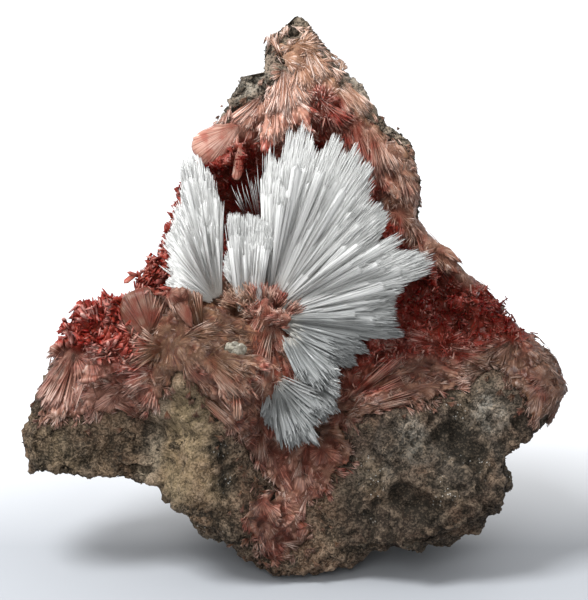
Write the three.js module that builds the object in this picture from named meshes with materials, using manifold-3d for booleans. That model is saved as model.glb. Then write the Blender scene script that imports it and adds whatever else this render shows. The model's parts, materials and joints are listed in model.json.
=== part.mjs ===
// Natrolite with inesite: a wedge of host rock, the pink to red inesite crust that covers its front
// and lines its hollow, and the white natrolite sprays that stand in the hollow.
// Millimetres, +Z up, +Y away from the viewer. The origin is on the flat patch that the rock rests on.
import * as THREE from "three";
import { mergeVertices } from "three/addons/utils/BufferGeometryUtils.js";
import { ImprovedNoise } from "three/addons/math/ImprovedNoise.js";
import Module from "manifold-3d";

// Driving dimensions
const LEAN = THREE.MathUtils.degToRad(15); // the display face leans back by this much
const ROCK = {
  detail: 9, // subdivisions of the icosahedron that becomes the rock
  wall: 0.36, // share of the icosahedron's rows that becomes its side
  crag: 1.3, // how far its broken surface strays on the front, in mm
  backCrag: 1.2, // how much further it strays at the back, as a share of that
  taper: 0.24, // how much narrower it is at the back, as a share of its radius
  round: 0.035, // how far its front rim is rounded off, as a share of its radius
  inset: 0,
};
const CRUST = {
  detail: 7,
  wall: 0.1,
  crag: 0.8,
  backCrag: 0,
  taper: 0,
  round: 0.03,
  inset: 0.7, // the crust keeps this far inside the rock's outline, in mm
};
const CRUST_ROOTS = 0.45; // the crust's blank reaches this share of the way through the rock
const BROKEN = { wave: 15, lump: 10, grain: 4.5 }; // sizes of what roughens a broken surface, in mm
const LUMP_RISE = 1.5; // height of the lumps and of the grains, as shares of the surface's crag
const GRAIN_RISE = 0.9;
const THINNEST = 3; // the rock is nowhere thinner than this from front to back, in mm
const GAP = 0.3; // clearance between neighbouring pieces
const FLOOR_CUT = 200; // size of the block that cuts the resting face flat
const WELD = 1e-4; // corners closer than this are one corner, in mm

const wasm = await Module();
wasm.setup();

// A place on the specimen is given as it is seen on the display face: across to the right and up,
// from the origin, and depth away from the viewer. The face leans back, so up and depth are turned.
function toWorld(across, up, depth) {
  return new THREE.Vector3(
    across,
    up * Math.sin(LEAN) + depth * Math.cos(LEAN),
    up * Math.cos(LEAN) - depth * Math.sin(LEAN),
  );
}

// The specimen's outline on the display face, clockwise from the apex: [across, up].
const OUTLINE = [
  [1.5, 100.2], [6, 95.8], [9.6, 90.3], [12.8, 87.8], [15, 81], [19.4, 77], [23, 74], [23, 69],
  [25.3, 66.3], [24, 60.5], [26.5, 56.5], [30, 53], [34.5, 49], [38, 46], [40.5, 41.5], [46.5, 38],
  [50, 31], [51, 28], [48.5, 25], [47.5, 21], [42, 18], [39.5, 17], [41, 12], [38.5, 7.5],
  [35, 3], [28.5, 0.5], [22.5, -1], [17.5, 0], [11, -3], [7.6, -5.3], [0, -7], [-4.2, -6.5],
  [-8, -2], [-16.5, 3], [-22.5, 7.5], [-25, 12], [-31, 12.5], [-38.5, 12.5], [-47, 13], [-49, 18],
  [-50, 22.3], [-46, 27], [-44, 33.5], [-41, 39.5], [-38, 43], [-32, 46], [-25, 47.5], [-23.8, 57],
  [-20, 66], [-16.5, 72.5], [-13, 80.3], [-11, 86], [-6, 88.5], [-4.8, 95], [-1, 97.6],
];
const MIDDLE = [0, 36]; // the point that the whole outline can be seen from

// Depth of the front and back faces against height: [up, depth].
const FRONT_PROFILE = [[-8, -21], [10, -21], [24, -20], [38, -17], [48, -12], [62, -10], [98, -7]];
const BACK_PROFILE = [[-8, 10], [8, 19], [20, 21], [40, 16], [60, 9], [80, 4], [98, 1]];

// Swellings and hollows of the front face. Each runs from one point to another, fades out over its
// reach, and pushes the face by its depth: plus is a hollow, minus stands towards the viewer.
const FADE = 1.5; // a form ends at this many times its reach
const FORMS = [
  { name: "hollow behind the left sprays", from: [-10, 63], to: [2, 65], reach: 15, depth: 12 },
  { name: "hollow behind the main spray", from: [2, 55], to: [23, 47], reach: 17, depth: 9 },
  { name: "red hollow on the right", from: [26, 44], to: [34, 41], reach: 9, depth: 5 },
  { name: "red hollow on the left", from: [-36, 42], to: [-26, 39], reach: 7, depth: 4 },
  { name: "left edge of the hollow", from: [-22, 51], to: [-20, 60], reach: 6, depth: 3 },
  { name: "rock column", from: [-18, 31], to: [-15.5, 6], reach: 10, depth: -6 },
  { name: "recess beside the column", from: [-27.5, 21], to: [-25.5, 17], reach: 6, depth: 7 },
  { name: "centre lump", from: [-24, 41], to: [-5, 39.5], reach: 11, depth: -7 },
  { name: "fan below the lump", from: [-14, 36], to: [-5, 25], reach: 9, depth: -4 },
  { name: "shoulder on the right", from: [17, 73], to: [20, 61], reach: 8, depth: -4 },
  { name: "bulb at the upper left", from: [-14.5, 73], to: [-12.5, 72], reach: 6, depth: -5 },
  { name: "apex lobe", from: [0.5, 87], to: [1.5, 80], reach: 7, depth: -3 },
  { name: "dark bulge at the lower right", from: [22, 20], to: [27, 9], reach: 16, depth: -5 },
  { name: "vug in the bulge", from: [28, 24], to: [33, 19], reach: 4, depth: 4 },
  { name: "right corner", from: [46, 31], to: [43, 26], reach: 6, depth: -2 },
  { name: "left corner", from: [-43, 21], to: [-33, 19], reach: 7, depth: -3 },
  { name: "groove under the main spray", from: [6, 33], to: [14, 34], reach: 6, depth: 4 },
  { name: "groove below the lower spray", from: [2, 17], to: [9, 21], reach: 6, depth: 3 },
];

// The same for the back face, where plus stands away from the viewer and minus is a hollow.
const BACK_FORMS = [
  { name: "spine", from: [-6, 16], to: [3, 70], reach: 9, depth: 4 },
  { name: "thin left lobe", from: [-36, 24], to: [-48, 22], reach: 17, depth: -16 },
  { name: "thin right lobe", from: [40, 26], to: [50, 30], reach: 15, depth: -12 },
  { name: "scoop beside the spine", from: [14, 44], to: [26, 30], reach: 9, depth: -5 },
  { name: "step above the base", from: [-16, 12], to: [24, 14], reach: 6, depth: 3 },
  { name: "chip at the shoulder", from: [14, 64], to: [18, 54], reach: 6, depth: -4 },
];

// Where the crust lies on the rock, and how thick it is along each run's middle.
const CRUST_PATCHES = [
  { name: "apex", from: [2, 89.5], to: [2.8, 79], reach: 5.2, thick: 3.4 },
  { name: "right flank", from: [4, 77], to: [18, 60], reach: 9.6, thick: 6 },
  { name: "lower flank", from: [20, 59], to: [33, 43], reach: 9.5, thick: 5 },
  { name: "left flank", from: [-3.5, 75.5], to: [-13, 71], reach: 5.9, thick: 5 },
  { name: "hollow lining", from: [-8, 62], to: [20, 48], reach: 21, thick: 4 },
  { name: "left edge", from: [-18, 66], to: [-24, 50], reach: 6.5, thick: 4 },
  { name: "left shelf", from: [-24, 41], to: [-38, 40], reach: 9, thick: 5 },
  { name: "left sprays", from: [-42, 32], to: [-28, 33], reach: 8, thick: 4 },
  { name: "centre lump", from: [-22, 42.5], to: [-5, 39], reach: 8.8, thick: 6 },
  { name: "centre fan", from: [-12, 34], to: [-3, 24], reach: 6.8, thick: 4 },
  { name: "lower run", from: [-3, 22], to: [2, 14], reach: 5.5, thick: 3 },
  { name: "foot of the lower run", from: [-5, 7], to: [-1, 3], reach: 4.5, thick: 2.5 },
  { name: "edge of the lower run", from: [5, 17], to: [9, 21], reach: 4, thick: 2 },
  { name: "right middle", from: [4, 30], to: [22, 36], reach: 9, thick: 4 },
  { name: "right shelf", from: [20, 41.5], to: [38, 41], reach: 7.4, thick: 4 },
  { name: "right corner", from: [42, 37], to: [47, 31], reach: 7.2, thick: 4 },
];
const RAGGED = { share: 0.16, scale: 4.5 }; // how uneven the crust's edge is, and its size in mm
const BARE = -2.5; // where the rock is bare, the crust's blank lies this far under its face, in mm

// Blades of inesite that stand out of the crust, in fans: name, root on the face, the way that the
// fan points in degrees from the right, how far it leans out of the face in degrees, how wide it
// spreads in degrees, how long its blades are and how many it has.
const BLADE_FANS = [
  ["sprays down to the left corner", [-34, 42], 238, 8, 44, 14, 5],
  ["spray on the left slope", [-26, 34], 172, 10, 50, 12, 5],
  ["crystals on the left shelf", [-33, 38], 112, 20, 90, 8.5, 6],
  ["crystals at the left edge", [-22, 46], 130, 20, 80, 8, 5],
  ["blades beside the disc", [-19, 41], 96, 24, 34, 8, 4],
  ["disc of blades", [-25, 42], 150, 42, 150, 5.5, 5],
  ["fan across the lump", [-15, 38], 318, 14, 46, 15, 4],
  ["tuft under the main spray", [-4.5, 41], 262, 20, 56, 9, 6],
  ["blades over the main spray's foot", [-6, 40], 48, 30, 50, 7, 4],
  ["bulb at the upper left", [-10, 75], 215, 16, 60, 8.5, 5],
  ["blade in the hollow", [-10, 76], 266, 24, 24, 10, 2],
  ["spray below the apex", [-3, 84], 295, 12, 60, 12, 5],
  ["spray on the shoulder", [13, 74], 300, 12, 60, 14, 6],
  ["spray on the lower flank", [24, 57], 300, 12, 56, 10, 5],
  ["red crystals on the right", [33, 39], 74, 22, 100, 8.5, 6],
  ["spray at the right corner", [39, 40], 322, 10, 44, 12, 6],
  ["spray in the middle right", [8, 30], 24, 12, 50, 12, 5],
  ["spray in the lower run", [-3, 15], 60, 12, 70, 8, 5],
  ["spray at the foot of the run", [-5, 3], 70, 12, 70, 8, 4],
];
const BLADE = {
  width: 1.9,
  thickness: 1.0,
  sunk: 1.2, // how deep its root lies in the crust, in mm
  root: 0.5, // its width at the root, as a share of its width
  tip: 0.22, // length of its pointed end, as a share of its length
  stray: 6, // how far it turns and leans away from its place in the fan, in degrees
  lean: 14,
};

// Natrolite sprays. A spray radiates from its root in bundles: turn is the way that a bundle points
// on the face, in degrees from the right, long its length, wide its width at the tip, and lift how
// far it leans towards the viewer, in degrees.
const MAIN_SPRAY = {
  name: "natrolite_main_spray",
  root: [-4, 44.5],
  depth: -15.5,
  knob: 3.6,
  bundles: [
    { turn: 101, long: 16.5, wide: 5, lift: 24 },
    { turn: 91, long: 17.5, wide: 4, lift: 18 },
    { turn: 96, long: 22, wide: 1.4, lift: 10 },
    { turn: 89, long: 29, wide: 1.4, lift: 9 },
    { turn: 83, long: 32, wide: 3.8, lift: 10 },
    { turn: 77, long: 34.5, wide: 4.4, lift: 14 },
    { turn: 70, long: 33.5, wide: 4.6, lift: 18 },
    { turn: 64, long: 33, wide: 4.6, lift: 12 },
    { turn: 57, long: 33.5, wide: 5, lift: 19 },
    { turn: 50, long: 31.5, wide: 4.8, lift: 14 },
    { turn: 43, long: 30, wide: 4.8, lift: 21 },
    { turn: 36, long: 28, wide: 4.6, lift: 14 },
    { turn: 29, long: 28, wide: 4.6, lift: 19 },
    { turn: 21, long: 30.5, wide: 4.8, lift: 13 },
    { turn: 14, long: 32.5, wide: 4.6, lift: 19 },
    { turn: 8, long: 28.5, wide: 4.6, lift: 14 },
    { turn: 1, long: 26.5, wide: 4.8, lift: 20 },
    { turn: -7, long: 25.5, wide: 4.6, lift: 14 },
    { turn: -15, long: 25.5, wide: 4.4, lift: 18 },
    { turn: -24, long: 21, wide: 4, lift: 14 },
    { turn: -33, long: 19.5, wide: 3.4, lift: 12 },
    { turn: 74, long: 27, wide: 6.2, lift: 27 },
    { turn: 53, long: 27, wide: 7, lift: 30 },
    { turn: 30, long: 25, wide: 7, lift: 30 },
    { turn: 6, long: 24, wide: 7, lift: 30 },
    { turn: 82, long: 23, wide: 5, lift: -8 },
    { turn: 32, long: 22, wide: 7, lift: -10 },
  ],
};
const LEFT_SPRAY = {
  name: "natrolite_left_spray",
  root: [-12.8, 46],
  depth: -16,
  knob: 2.2,
  bundles: [
    { turn: 89, long: 18, wide: 1.8, lift: 8 },
    { turn: 95, long: 21.5, wide: 3.4, lift: 12 },
    { turn: 101, long: 25, wide: 4.6, lift: 14 },
    { turn: 107, long: 26, wide: 3.8, lift: 10 },
    { turn: 114, long: 19.5, wide: 3.4, lift: 15 },
    { turn: 122, long: 17, wide: 3.2, lift: 11 },
    { turn: 131, long: 15, wide: 3, lift: 14 },
    { turn: 142, long: 12.5, wide: 2.8, lift: 13 },
    { turn: 108, long: 14.5, wide: 5, lift: 34 },
  ],
};
const LOWER_SPRAY = {
  name: "natrolite_lower_spray",
  root: [-2.5, 36.5],
  depth: -20.5,
  knob: 2.6,
  bundles: [
    { turn: 8, long: 12, wide: 2.8, lift: 16 },
    { turn: -8, long: 12.5, wide: 3.4, lift: 20 },
    { turn: -22, long: 12.5, wide: 3.6, lift: 16 },
    { turn: -36, long: 14, wide: 3.8, lift: 22 },
    { turn: -49, long: 16.5, wide: 4, lift: 17 },
    { turn: -60, long: 18.5, wide: 4, lift: 23 },
    { turn: -69, long: 20, wide: 3.8, lift: 17 },
    { turn: -79, long: 19, wide: 3.4, lift: 21 },
    { turn: -91, long: 13, wide: 3, lift: 18 },
    { turn: -50, long: 12, wide: 6, lift: 34 },
  ],
};
const BUNDLE = {
  root: 0.3, // its width at the root, as a share of its width
  tip: 0.1, // length of its pointed end, as a share of its length
  flat: 0.7, // its thickness, as a share of its width
  roll: 0.5, // how far it may be turned about its own length, in radians
  stray: 0.9, // how far its root strays from the middle of the knob, in mm
};

// The pale crystal that is set in the centre lump.
const CHIP = { at: [-9.5, 36.5], size: [2.9, 1.4, 1.7], turn: 12, rise: 1.2 };

const noise = new ImprovedNoise();
function seeded(seed) {
  let state = seed;
  return () => {
    state = (state * 1664525 + 1013904223) % 4294967296;
    return state / 4294967296;
  };
}

function along(profile, at) {
  for (let i = 1; i < profile.length; i++) {
    const [a, low] = profile[i - 1];
    const [b, high] = profile[i];
    if (at <= b) return THREE.MathUtils.mapLinear(Math.max(at, a), a, b, low, high);
  }
  return profile[profile.length - 1][1];
}

// Distance from a point of the display face to a run from one point to another.
function distanceToRun(across, up, run) {
  const from = new THREE.Vector2(...run.from);
  const leg = new THREE.Vector2(...run.to).sub(from);
  const away = new THREE.Vector2(across, up).sub(from);
  const share = THREE.MathUtils.clamp(away.dot(leg) / leg.lengthSq(), 0, 1);
  return away.addScaledVector(leg, -share).length();
}

function faceDepth(profile, forms, across, up) {
  return forms.reduce((depth, form) => {
    const reach = distanceToRun(across, up, form) / (form.reach * FADE);
    return reach < 1 ? depth + form.depth * (1 - reach ** 2) ** 2 : depth;
  }, along(profile, up));
}

const frontDepth = (across, up) => faceDepth(FRONT_PROFILE, FORMS, across, up);
const backDepth = (across, up) => faceDepth(BACK_PROFILE, BACK_FORMS, across, up);

// Thickness of the crust: under zero where the rock is bare.
function crustThickness(across, up) {
  const ragged = RAGGED.share * noise.noise(across / RAGGED.scale, up / RAGGED.scale, 7);
  return CRUST_PATCHES.reduce((thick, patch) => {
    const reach = distanceToRun(across, up, patch) / patch.reach + ragged;
    return Math.max(thick, patch.thick * (1 - reach ** 2));
  }, BARE);
}

const ring = OUTLINE.map(([across, up]) => new THREE.Vector2(across - MIDDLE[0], up - MIDDLE[1]));
function outlineRadius(angle) {
  const ray = new THREE.Vector2(Math.cos(angle), Math.sin(angle));
  for (let i = 0; i < ring.length; i++) {
    const a = ring[i];
    const side = ring[(i + 1) % ring.length].clone().sub(a);
    const turned = ray.cross(side);
    const distance = a.cross(side) / turned;
    const share = a.cross(ray) / turned;
    if (distance > 0 && share >= 0 && share <= 1) return distance;
  }
  throw new Error("the outline is open at " + angle);
}

function solidOf(geometry) {
  const bare = new THREE.BufferGeometry();
  const source = geometry.index ? geometry.toNonIndexed() : geometry;
  bare.setAttribute("position", source.getAttribute("position").clone());
  const merged = mergeVertices(bare, WELD);
  const corners = merged.index.array;
  const kept = [];
  for (let i = 0; i < corners.length; i += 3) {
    const [a, b, c] = corners.slice(i, i + 3);
    if (a !== b && b !== c && c !== a) kept.push(a, b, c);
  }
  return new wasm.Manifold(
    new wasm.Mesh({
      numProp: 3,
      vertProperties: merged.getAttribute("position").array,
      triVerts: new Uint32Array(kept),
    }),
  );
}

function meshOf(name, solid, colour, roughness) {
  const made = solid.getMesh();
  const geometry = new THREE.BufferGeometry();
  geometry.setAttribute("position", new THREE.BufferAttribute(made.vertProperties, 3));
  geometry.setIndex(new THREE.BufferAttribute(made.triVerts, 1));
  const flat = geometry.toNonIndexed();
  flat.computeVertexNormals();
  const material = new THREE.MeshStandardMaterial({ color: colour, roughness, metalness: 0 });
  const mesh = new THREE.Mesh(flat, material);
  mesh.name = name;
  return mesh;
}

const largestOf = (solid) =>
  solid.decompose().reduce((most, body) => (body.volume() > most.volume() ? body : most));

// A rough wedge with the specimen's outline: an icosahedron whose front and back are spread over the
// outline and pushed to their depths, and whose middle rows are the side. A grown copy is the same
// surface moved out by a clearance.
function wedge(shape, front, back, grow) {
  const geometry = new THREE.IcosahedronGeometry(1, shape.detail);
  const points = geometry.getAttribute("position");
  const at = new THREE.Vector3();
  for (let i = 0; i < points.count; i++) {
    at.fromBufferAttribute(points, i).normalize();
    const angle = Math.atan2(at.y, at.x);
    const ray = [Math.cos(angle), Math.sin(angle)];
    const steep = Math.abs(at.z);
    const onSide = steep <= shape.wall;
    const share = onSide ? 1 : Math.sqrt((1 - steep) / (1 - shape.wall));
    const through = THREE.MathUtils.clamp((1 - at.z / shape.wall) / 2, 0, 1);
    const narrowed = shape.taper * (1 - Math.sqrt(1 - through ** 2));
    const uneven = 1 + 0.7 * noise.noise(2.5 * ray[0], 2.5 * ray[1], 9);
    const rounded = shape.round * Math.max(0, 1 - 3 * through) ** 2;
    const rim = (outlineRadius(angle) - shape.inset) * (1 - narrowed * uneven - rounded);
    const across = MIDDLE[0] + rim * share * ray[0];
    const up = MIDDLE[1] + rim * share * ray[1];
    const near = front(across, up);
    const far = Math.max(back(across, up), near + THINNEST);
    const depth = THREE.MathUtils.lerp(near, far, through);
    const rough = shape.crag * (1 + shape.backCrag * through);
    const lump = (scale, offset) =>
      noise.noise(across / scale + offset, up / scale, depth / scale);
    const sway = [0, 31].map((offset) => rough * lump(BROKEN.wave, offset));
    const lumps = LUMP_RISE * lump(BROKEN.lump, 67) + GRAIN_RISE * lump(BROKEN.grain, 97);
    const bump = rough * lumps;
    const outward = (bump + grow) * Math.sin(Math.PI * through);
    const deeper = -(bump + grow) * Math.cos(Math.PI * through);
    const place = toWorld(
      across + sway[0] + outward * ray[0],
      up + sway[1] + outward * ray[1],
      depth + deeper,
    );
    points.setXYZ(i, place.x, place.y, place.z);
  }
  return solidOf(geometry);
}

function aboveFloor(solid) {
  const block = new THREE.BoxGeometry(FLOOR_CUT, FLOOR_CUT, FLOOR_CUT);
  block.translate(0, 0, -FLOOR_CUT / 2);
  return solid.subtract(solidOf(block));
}

// The direction in the world of a turn on the display face and a lift towards the viewer.
function heading(turn, lift) {
  const [a, b] = [turn, lift].map(THREE.MathUtils.degToRad);
  return toWorld(Math.cos(a) * Math.cos(b), Math.sin(a) * Math.cos(b), -Math.sin(b));
}

// A prism with flat faces and a pointed end. Its root and tip are shares of its width and length.
function prism({ sides, long, wide, thick, root, tip, grow, spin }) {
  const end = long + grow;
  const profile = [[0, 0], [root, 0], [1, end * (1 - tip)], [0, end]];
  const outline = profile.map(([radius, height]) => new THREE.Vector2(radius, height));
  const geometry = new THREE.LatheGeometry(outline, sides);
  geometry.rotateY(Math.PI / sides);
  const corner = 1 / Math.cos(Math.PI / sides);
  geometry.scale((wide / 2 + grow) * corner, 1, (thick / 2 + grow) * corner);
  geometry.rotateY(spin);
  return geometry;
}

// Stands a prism that points up the Y axis on a root, with its flat side towards the viewer.
function placed(geometry, from, direction) {
  const side = new THREE.Vector3().crossVectors(direction, toWorld(0, 0, -1)).normalize();
  const flat = new THREE.Vector3().crossVectors(side, direction);
  geometry.applyMatrix4(new THREE.Matrix4().makeBasis(side, direction, flat));
  geometry.translate(from.x, from.y, from.z);
  return geometry;
}

function hostRock(grow) {
  const front = (across, up) =>
    frontDepth(across, up) + Math.max(0, crustThickness(across, up));
  return wedge(ROCK, front, backDepth, grow);
}

// The crust's blank: its open face where the crust is, and under the rock's face elsewhere.
function crustBlank(grow) {
  const front = (across, up) =>
    frontDepth(across, up) + Math.max(0, -crustThickness(across, up));
  const back = (across, up) =>
    THREE.MathUtils.lerp(frontDepth(across, up), backDepth(across, up), CRUST_ROOTS);
  return wedge(CRUST, front, back, grow);
}

// One fan of blades, standing on the rock's face.
function bladeFan([, root, turn, lift, spread, long, count], index) {
  const random = seeded(401 + index);
  const from = toWorld(...root, frontDepth(...root) + BLADE.sunk);
  return Array.from({ length: count }, (_, i) => {
    const share = i / (count - 1) - 0.5;
    const heads = heading(
      turn + spread * share + BLADE.stray * (random() - 0.5),
      lift + BLADE.lean * (random() - 0.5),
    );
    const blade = prism({
      sides: 3,
      long: long * (0.78 + 0.4 * random()),
      wide: BLADE.width * (0.8 + 0.6 * random()),
      thick: BLADE.thickness,
      root: BLADE.root,
      tip: BLADE.tip,
      grow: 0,
      spin: random() * Math.PI,
    });
    return solidOf(placed(blade, from, heads));
  });
}

// A natrolite spray: its bundles and the knob that they grow from.
function spray({ name, root, depth, knob, bundles }, grow) {
  const random = seeded(name.length);
  const foot = toWorld(...root, depth);
  const base = new THREE.IcosahedronGeometry(knob + grow, 1);
  base.translate(foot.x, foot.y, foot.z);
  const prisms = bundles.map(({ turn, long, wide, lift }) => {
    const bundle = prism({
      sides: 4,
      long,
      wide,
      thick: wide * BUNDLE.flat,
      root: BUNDLE.root,
      tip: BUNDLE.tip,
      grow,
      spin: BUNDLE.roll * (random() - 0.5),
    });
    const offset = toWorld(...[0, 0, 0].map(() => BUNDLE.stray * (random() - 0.5)));
    return solidOf(placed(bundle, foot.clone().add(offset), heading(turn, lift)));
  });
  return wasm.Manifold.union([solidOf(base), ...prisms]);
}

function chip(grow) {
  const [across, up] = CHIP.at;
  const block = new THREE.IcosahedronGeometry(1, 0);
  block.scale(...CHIP.size.map((half) => half + grow));
  block.rotateY(THREE.MathUtils.degToRad(-CHIP.turn));
  const at = toWorld(across, up, frontDepth(across, up) - CHIP.rise);
  block.translate(at.x, at.y, at.z);
  return solidOf(block);
}

// Assembly
const rock = aboveFloor(hostRock(0));
const socket = hostRock(GAP).add(hostRock(0));
const crustRoom = crustBlank(GAP).add(crustBlank(0));
const sprays = [MAIN_SPRAY, LEFT_SPRAY, LOWER_SPRAY];
const sprayRoom = wasm.Manifold.union(sprays.map((each) => spray(each, GAP)));
const blades = wasm.Manifold.union(BLADE_FANS.flatMap(bladeFan)).subtract(sprayRoom);
const crust = crustBlank(0).add(blades).subtract(socket).subtract(chip(GAP));

const group = new THREE.Group();
group.name = "natrolite_with_inesite";
group.add(meshOf("host_rock", rock, 0x6b6152, 0.95));
group.add(meshOf("inesite_crust", largestOf(aboveFloor(crust)), 0xa8604e, 0.5));
for (const each of sprays) {
  const whole = spray(each, 0).subtract(crustRoom).subtract(socket);
  const free = each === MAIN_SPRAY ? whole : whole.subtract(spray(MAIN_SPRAY, GAP));
  group.add(meshOf(each.name, largestOf(free), 0xe4e6e6, 0.35));
}
group.add(meshOf("pale_crystal_chip", largestOf(chip(0).subtract(socket)), 0xb5b8ad, 0.6));

export default group;
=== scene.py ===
"""Dresses a natrolite with inesite specimen: its rock, its crystals and a plain stage.

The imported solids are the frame. Every piece is placed from them, in metres, and the places that
were read off the photograph are given in its pixels and cast onto the solids from its camera.
"""
import json
import math

import bpy
import numpy as np
from bpy.props import FloatProperty, FloatVectorProperty, IntProperty, PointerProperty
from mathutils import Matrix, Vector
from mathutils.bvhtree import BVHTree

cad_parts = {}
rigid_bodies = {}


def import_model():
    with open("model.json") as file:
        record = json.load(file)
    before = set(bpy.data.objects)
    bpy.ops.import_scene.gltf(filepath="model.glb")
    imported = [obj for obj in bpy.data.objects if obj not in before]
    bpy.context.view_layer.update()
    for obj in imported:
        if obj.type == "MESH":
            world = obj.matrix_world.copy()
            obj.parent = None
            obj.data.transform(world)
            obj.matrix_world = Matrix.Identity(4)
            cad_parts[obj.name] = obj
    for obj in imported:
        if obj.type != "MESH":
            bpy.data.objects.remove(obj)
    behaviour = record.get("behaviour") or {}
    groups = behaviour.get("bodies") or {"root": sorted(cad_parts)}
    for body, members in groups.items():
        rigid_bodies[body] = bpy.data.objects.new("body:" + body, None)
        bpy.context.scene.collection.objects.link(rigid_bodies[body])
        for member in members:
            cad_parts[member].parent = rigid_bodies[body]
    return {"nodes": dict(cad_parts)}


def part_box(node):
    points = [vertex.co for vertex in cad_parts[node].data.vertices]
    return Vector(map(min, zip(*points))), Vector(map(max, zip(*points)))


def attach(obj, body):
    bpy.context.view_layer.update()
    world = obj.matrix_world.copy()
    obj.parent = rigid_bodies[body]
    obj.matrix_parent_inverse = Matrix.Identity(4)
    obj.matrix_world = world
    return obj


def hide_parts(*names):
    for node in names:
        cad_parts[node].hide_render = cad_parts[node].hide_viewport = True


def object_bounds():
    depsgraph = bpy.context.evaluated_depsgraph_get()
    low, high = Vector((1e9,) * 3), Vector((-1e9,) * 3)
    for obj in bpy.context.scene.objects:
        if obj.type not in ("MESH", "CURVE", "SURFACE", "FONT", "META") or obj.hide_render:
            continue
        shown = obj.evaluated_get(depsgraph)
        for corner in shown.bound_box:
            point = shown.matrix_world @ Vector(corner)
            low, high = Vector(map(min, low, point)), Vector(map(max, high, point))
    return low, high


bl_info = {
    "name": "Natrolite With Inesite Specimen",
    "version": (1, 0, 0),
    "blender": (4, 5, 0),
    "location": "3D View > Sidebar > Specimen",
    "description": "Builds the look of a mineral specimen over its packed solids",
    "category": "Add Mesh",
}

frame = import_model()
CAD_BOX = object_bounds()

MM = 0.001  # one millimetre, in metres
QUICK_SHARE = 1.0

# The camera stands square to the display face, which leans back. A place on the face is across to
# the right, up, and depth away from the viewer, in millimetres from the origin.
LEAN = math.radians(15)
PHOTO_SIZE = (588, 600)
PIXEL = 0.183  # millimetres on the display face for each pixel of the photograph
ORIGIN_PIXEL = (290.0, 546.85)
CAMERA_AWAY = 600.0
FACE_DEPTH = -13.0  # depth at which a pixel has that size


def to_world(face):
    """World millimetres of places given as across, up and depth."""
    across, up, depth = np.moveaxis(np.asarray(face, float), -1, 0)
    cos, sin = math.cos(LEAN), math.sin(LEAN)
    return np.stack([across, up * sin + depth * cos, up * cos - depth * sin], -1)


def to_face(world):
    """Across, up and depth of places given in world millimetres."""
    x, y, z = np.moveaxis(np.asarray(world, float), -1, 0)
    cos, sin = math.cos(LEAN), math.sin(LEAN)
    return np.stack([x, y * sin + z * cos, y * cos - z * sin], -1)


def pixel_to_face(pixel):
    """Across and up, on the display face, of a pixel of the photograph."""
    pixel = np.asarray(pixel, float)
    return np.stack(
        [(pixel[..., 0] - ORIGIN_PIXEL[0]) * PIXEL, (ORIGIN_PIXEL[1] - pixel[..., 1]) * PIXEL], -1
    )


MIDDLE = pixel_to_face((PHOTO_SIZE[0] / 2, PHOTO_SIZE[1] / 2))
EYE = to_world((*MIDDLE, FACE_DEPTH - CAMERA_AWAY))
VIEWER = to_world((0, 0, -1))  # the way to the viewer


def unit(vectors):
    """Each vector made one long."""
    vectors = np.asarray(vectors, float)
    return vectors / np.maximum(np.linalg.norm(vectors, axis=-1, keepdims=True), 1e-9)


def square_to(vectors, ways):
    """The part of each vector that is square to its way, one long."""
    return unit(vectors - (vectors * ways).sum(-1, keepdims=True) * ways)


class Skin:
    """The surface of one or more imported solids, in millimetres, to place crystals on."""

    def __init__(self, *nodes):
        points, faces = [], []
        for node in nodes:
            mesh = frame["nodes"][node].data
            spot = np.empty(len(mesh.vertices) * 3, np.float32)
            mesh.vertices.foreach_get("co", spot)
            first = len(points)
            points.extend((spot.reshape(-1, 3) / MM).tolist())
            faces.extend([[first + i for i in face.vertices] for face in mesh.polygons])
        self.points = np.array(points)
        self.faces = np.array(faces)
        self.tree = BVHTree.FromPolygons(points, faces)

    def seen(self, pixel):
        """The place and the normal of the surface under a pixel of the photograph."""
        target = to_world((*pixel_to_face(pixel), FACE_DEPTH))
        way = unit(target - EYE)
        spot, normal, _, _ = self.tree.ray_cast(Vector(EYE), Vector(way))
        if spot is None:
            steps = [EYE + way * (CAMERA_AWAY + step) for step in range(-20, 34, 3)]
            found = [self.tree.find_nearest(Vector(step)) for step in steps]
            spot, normal, _, _ = min(found, key=lambda hit: hit[3])
        return np.array(spot), np.array(normal)

    def scattered(self, rng, count):
        """Places spread evenly over the surface, and the normals there."""
        a, b, c = (self.points[self.faces[:, i]] for i in range(3))
        cross = np.cross(b - a, c - a)
        area = np.linalg.norm(cross, axis=1)
        chosen = rng.choice(len(area), count, p=area / area.sum())
        u, v = rng.random((2, count, 1))
        swap = u + v > 1
        u, v = np.where(swap, 1 - u, u), np.where(swap, 1 - v, v)
        spots = a[chosen] + u * (b - a)[chosen] + v * (c - a)[chosen]
        return spots, unit(cross[chosen])

    def distance(self, spots):
        """How far each place is from the surface."""
        return np.array([self.tree.find_nearest(Vector(spot))[3] for spot in spots])


ROCK_SKIN = Skin("host_rock")
CRUST_SKIN = Skin("inesite_crust")
FRONT_SKIN = Skin("host_rock", "inesite_crust")


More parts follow.
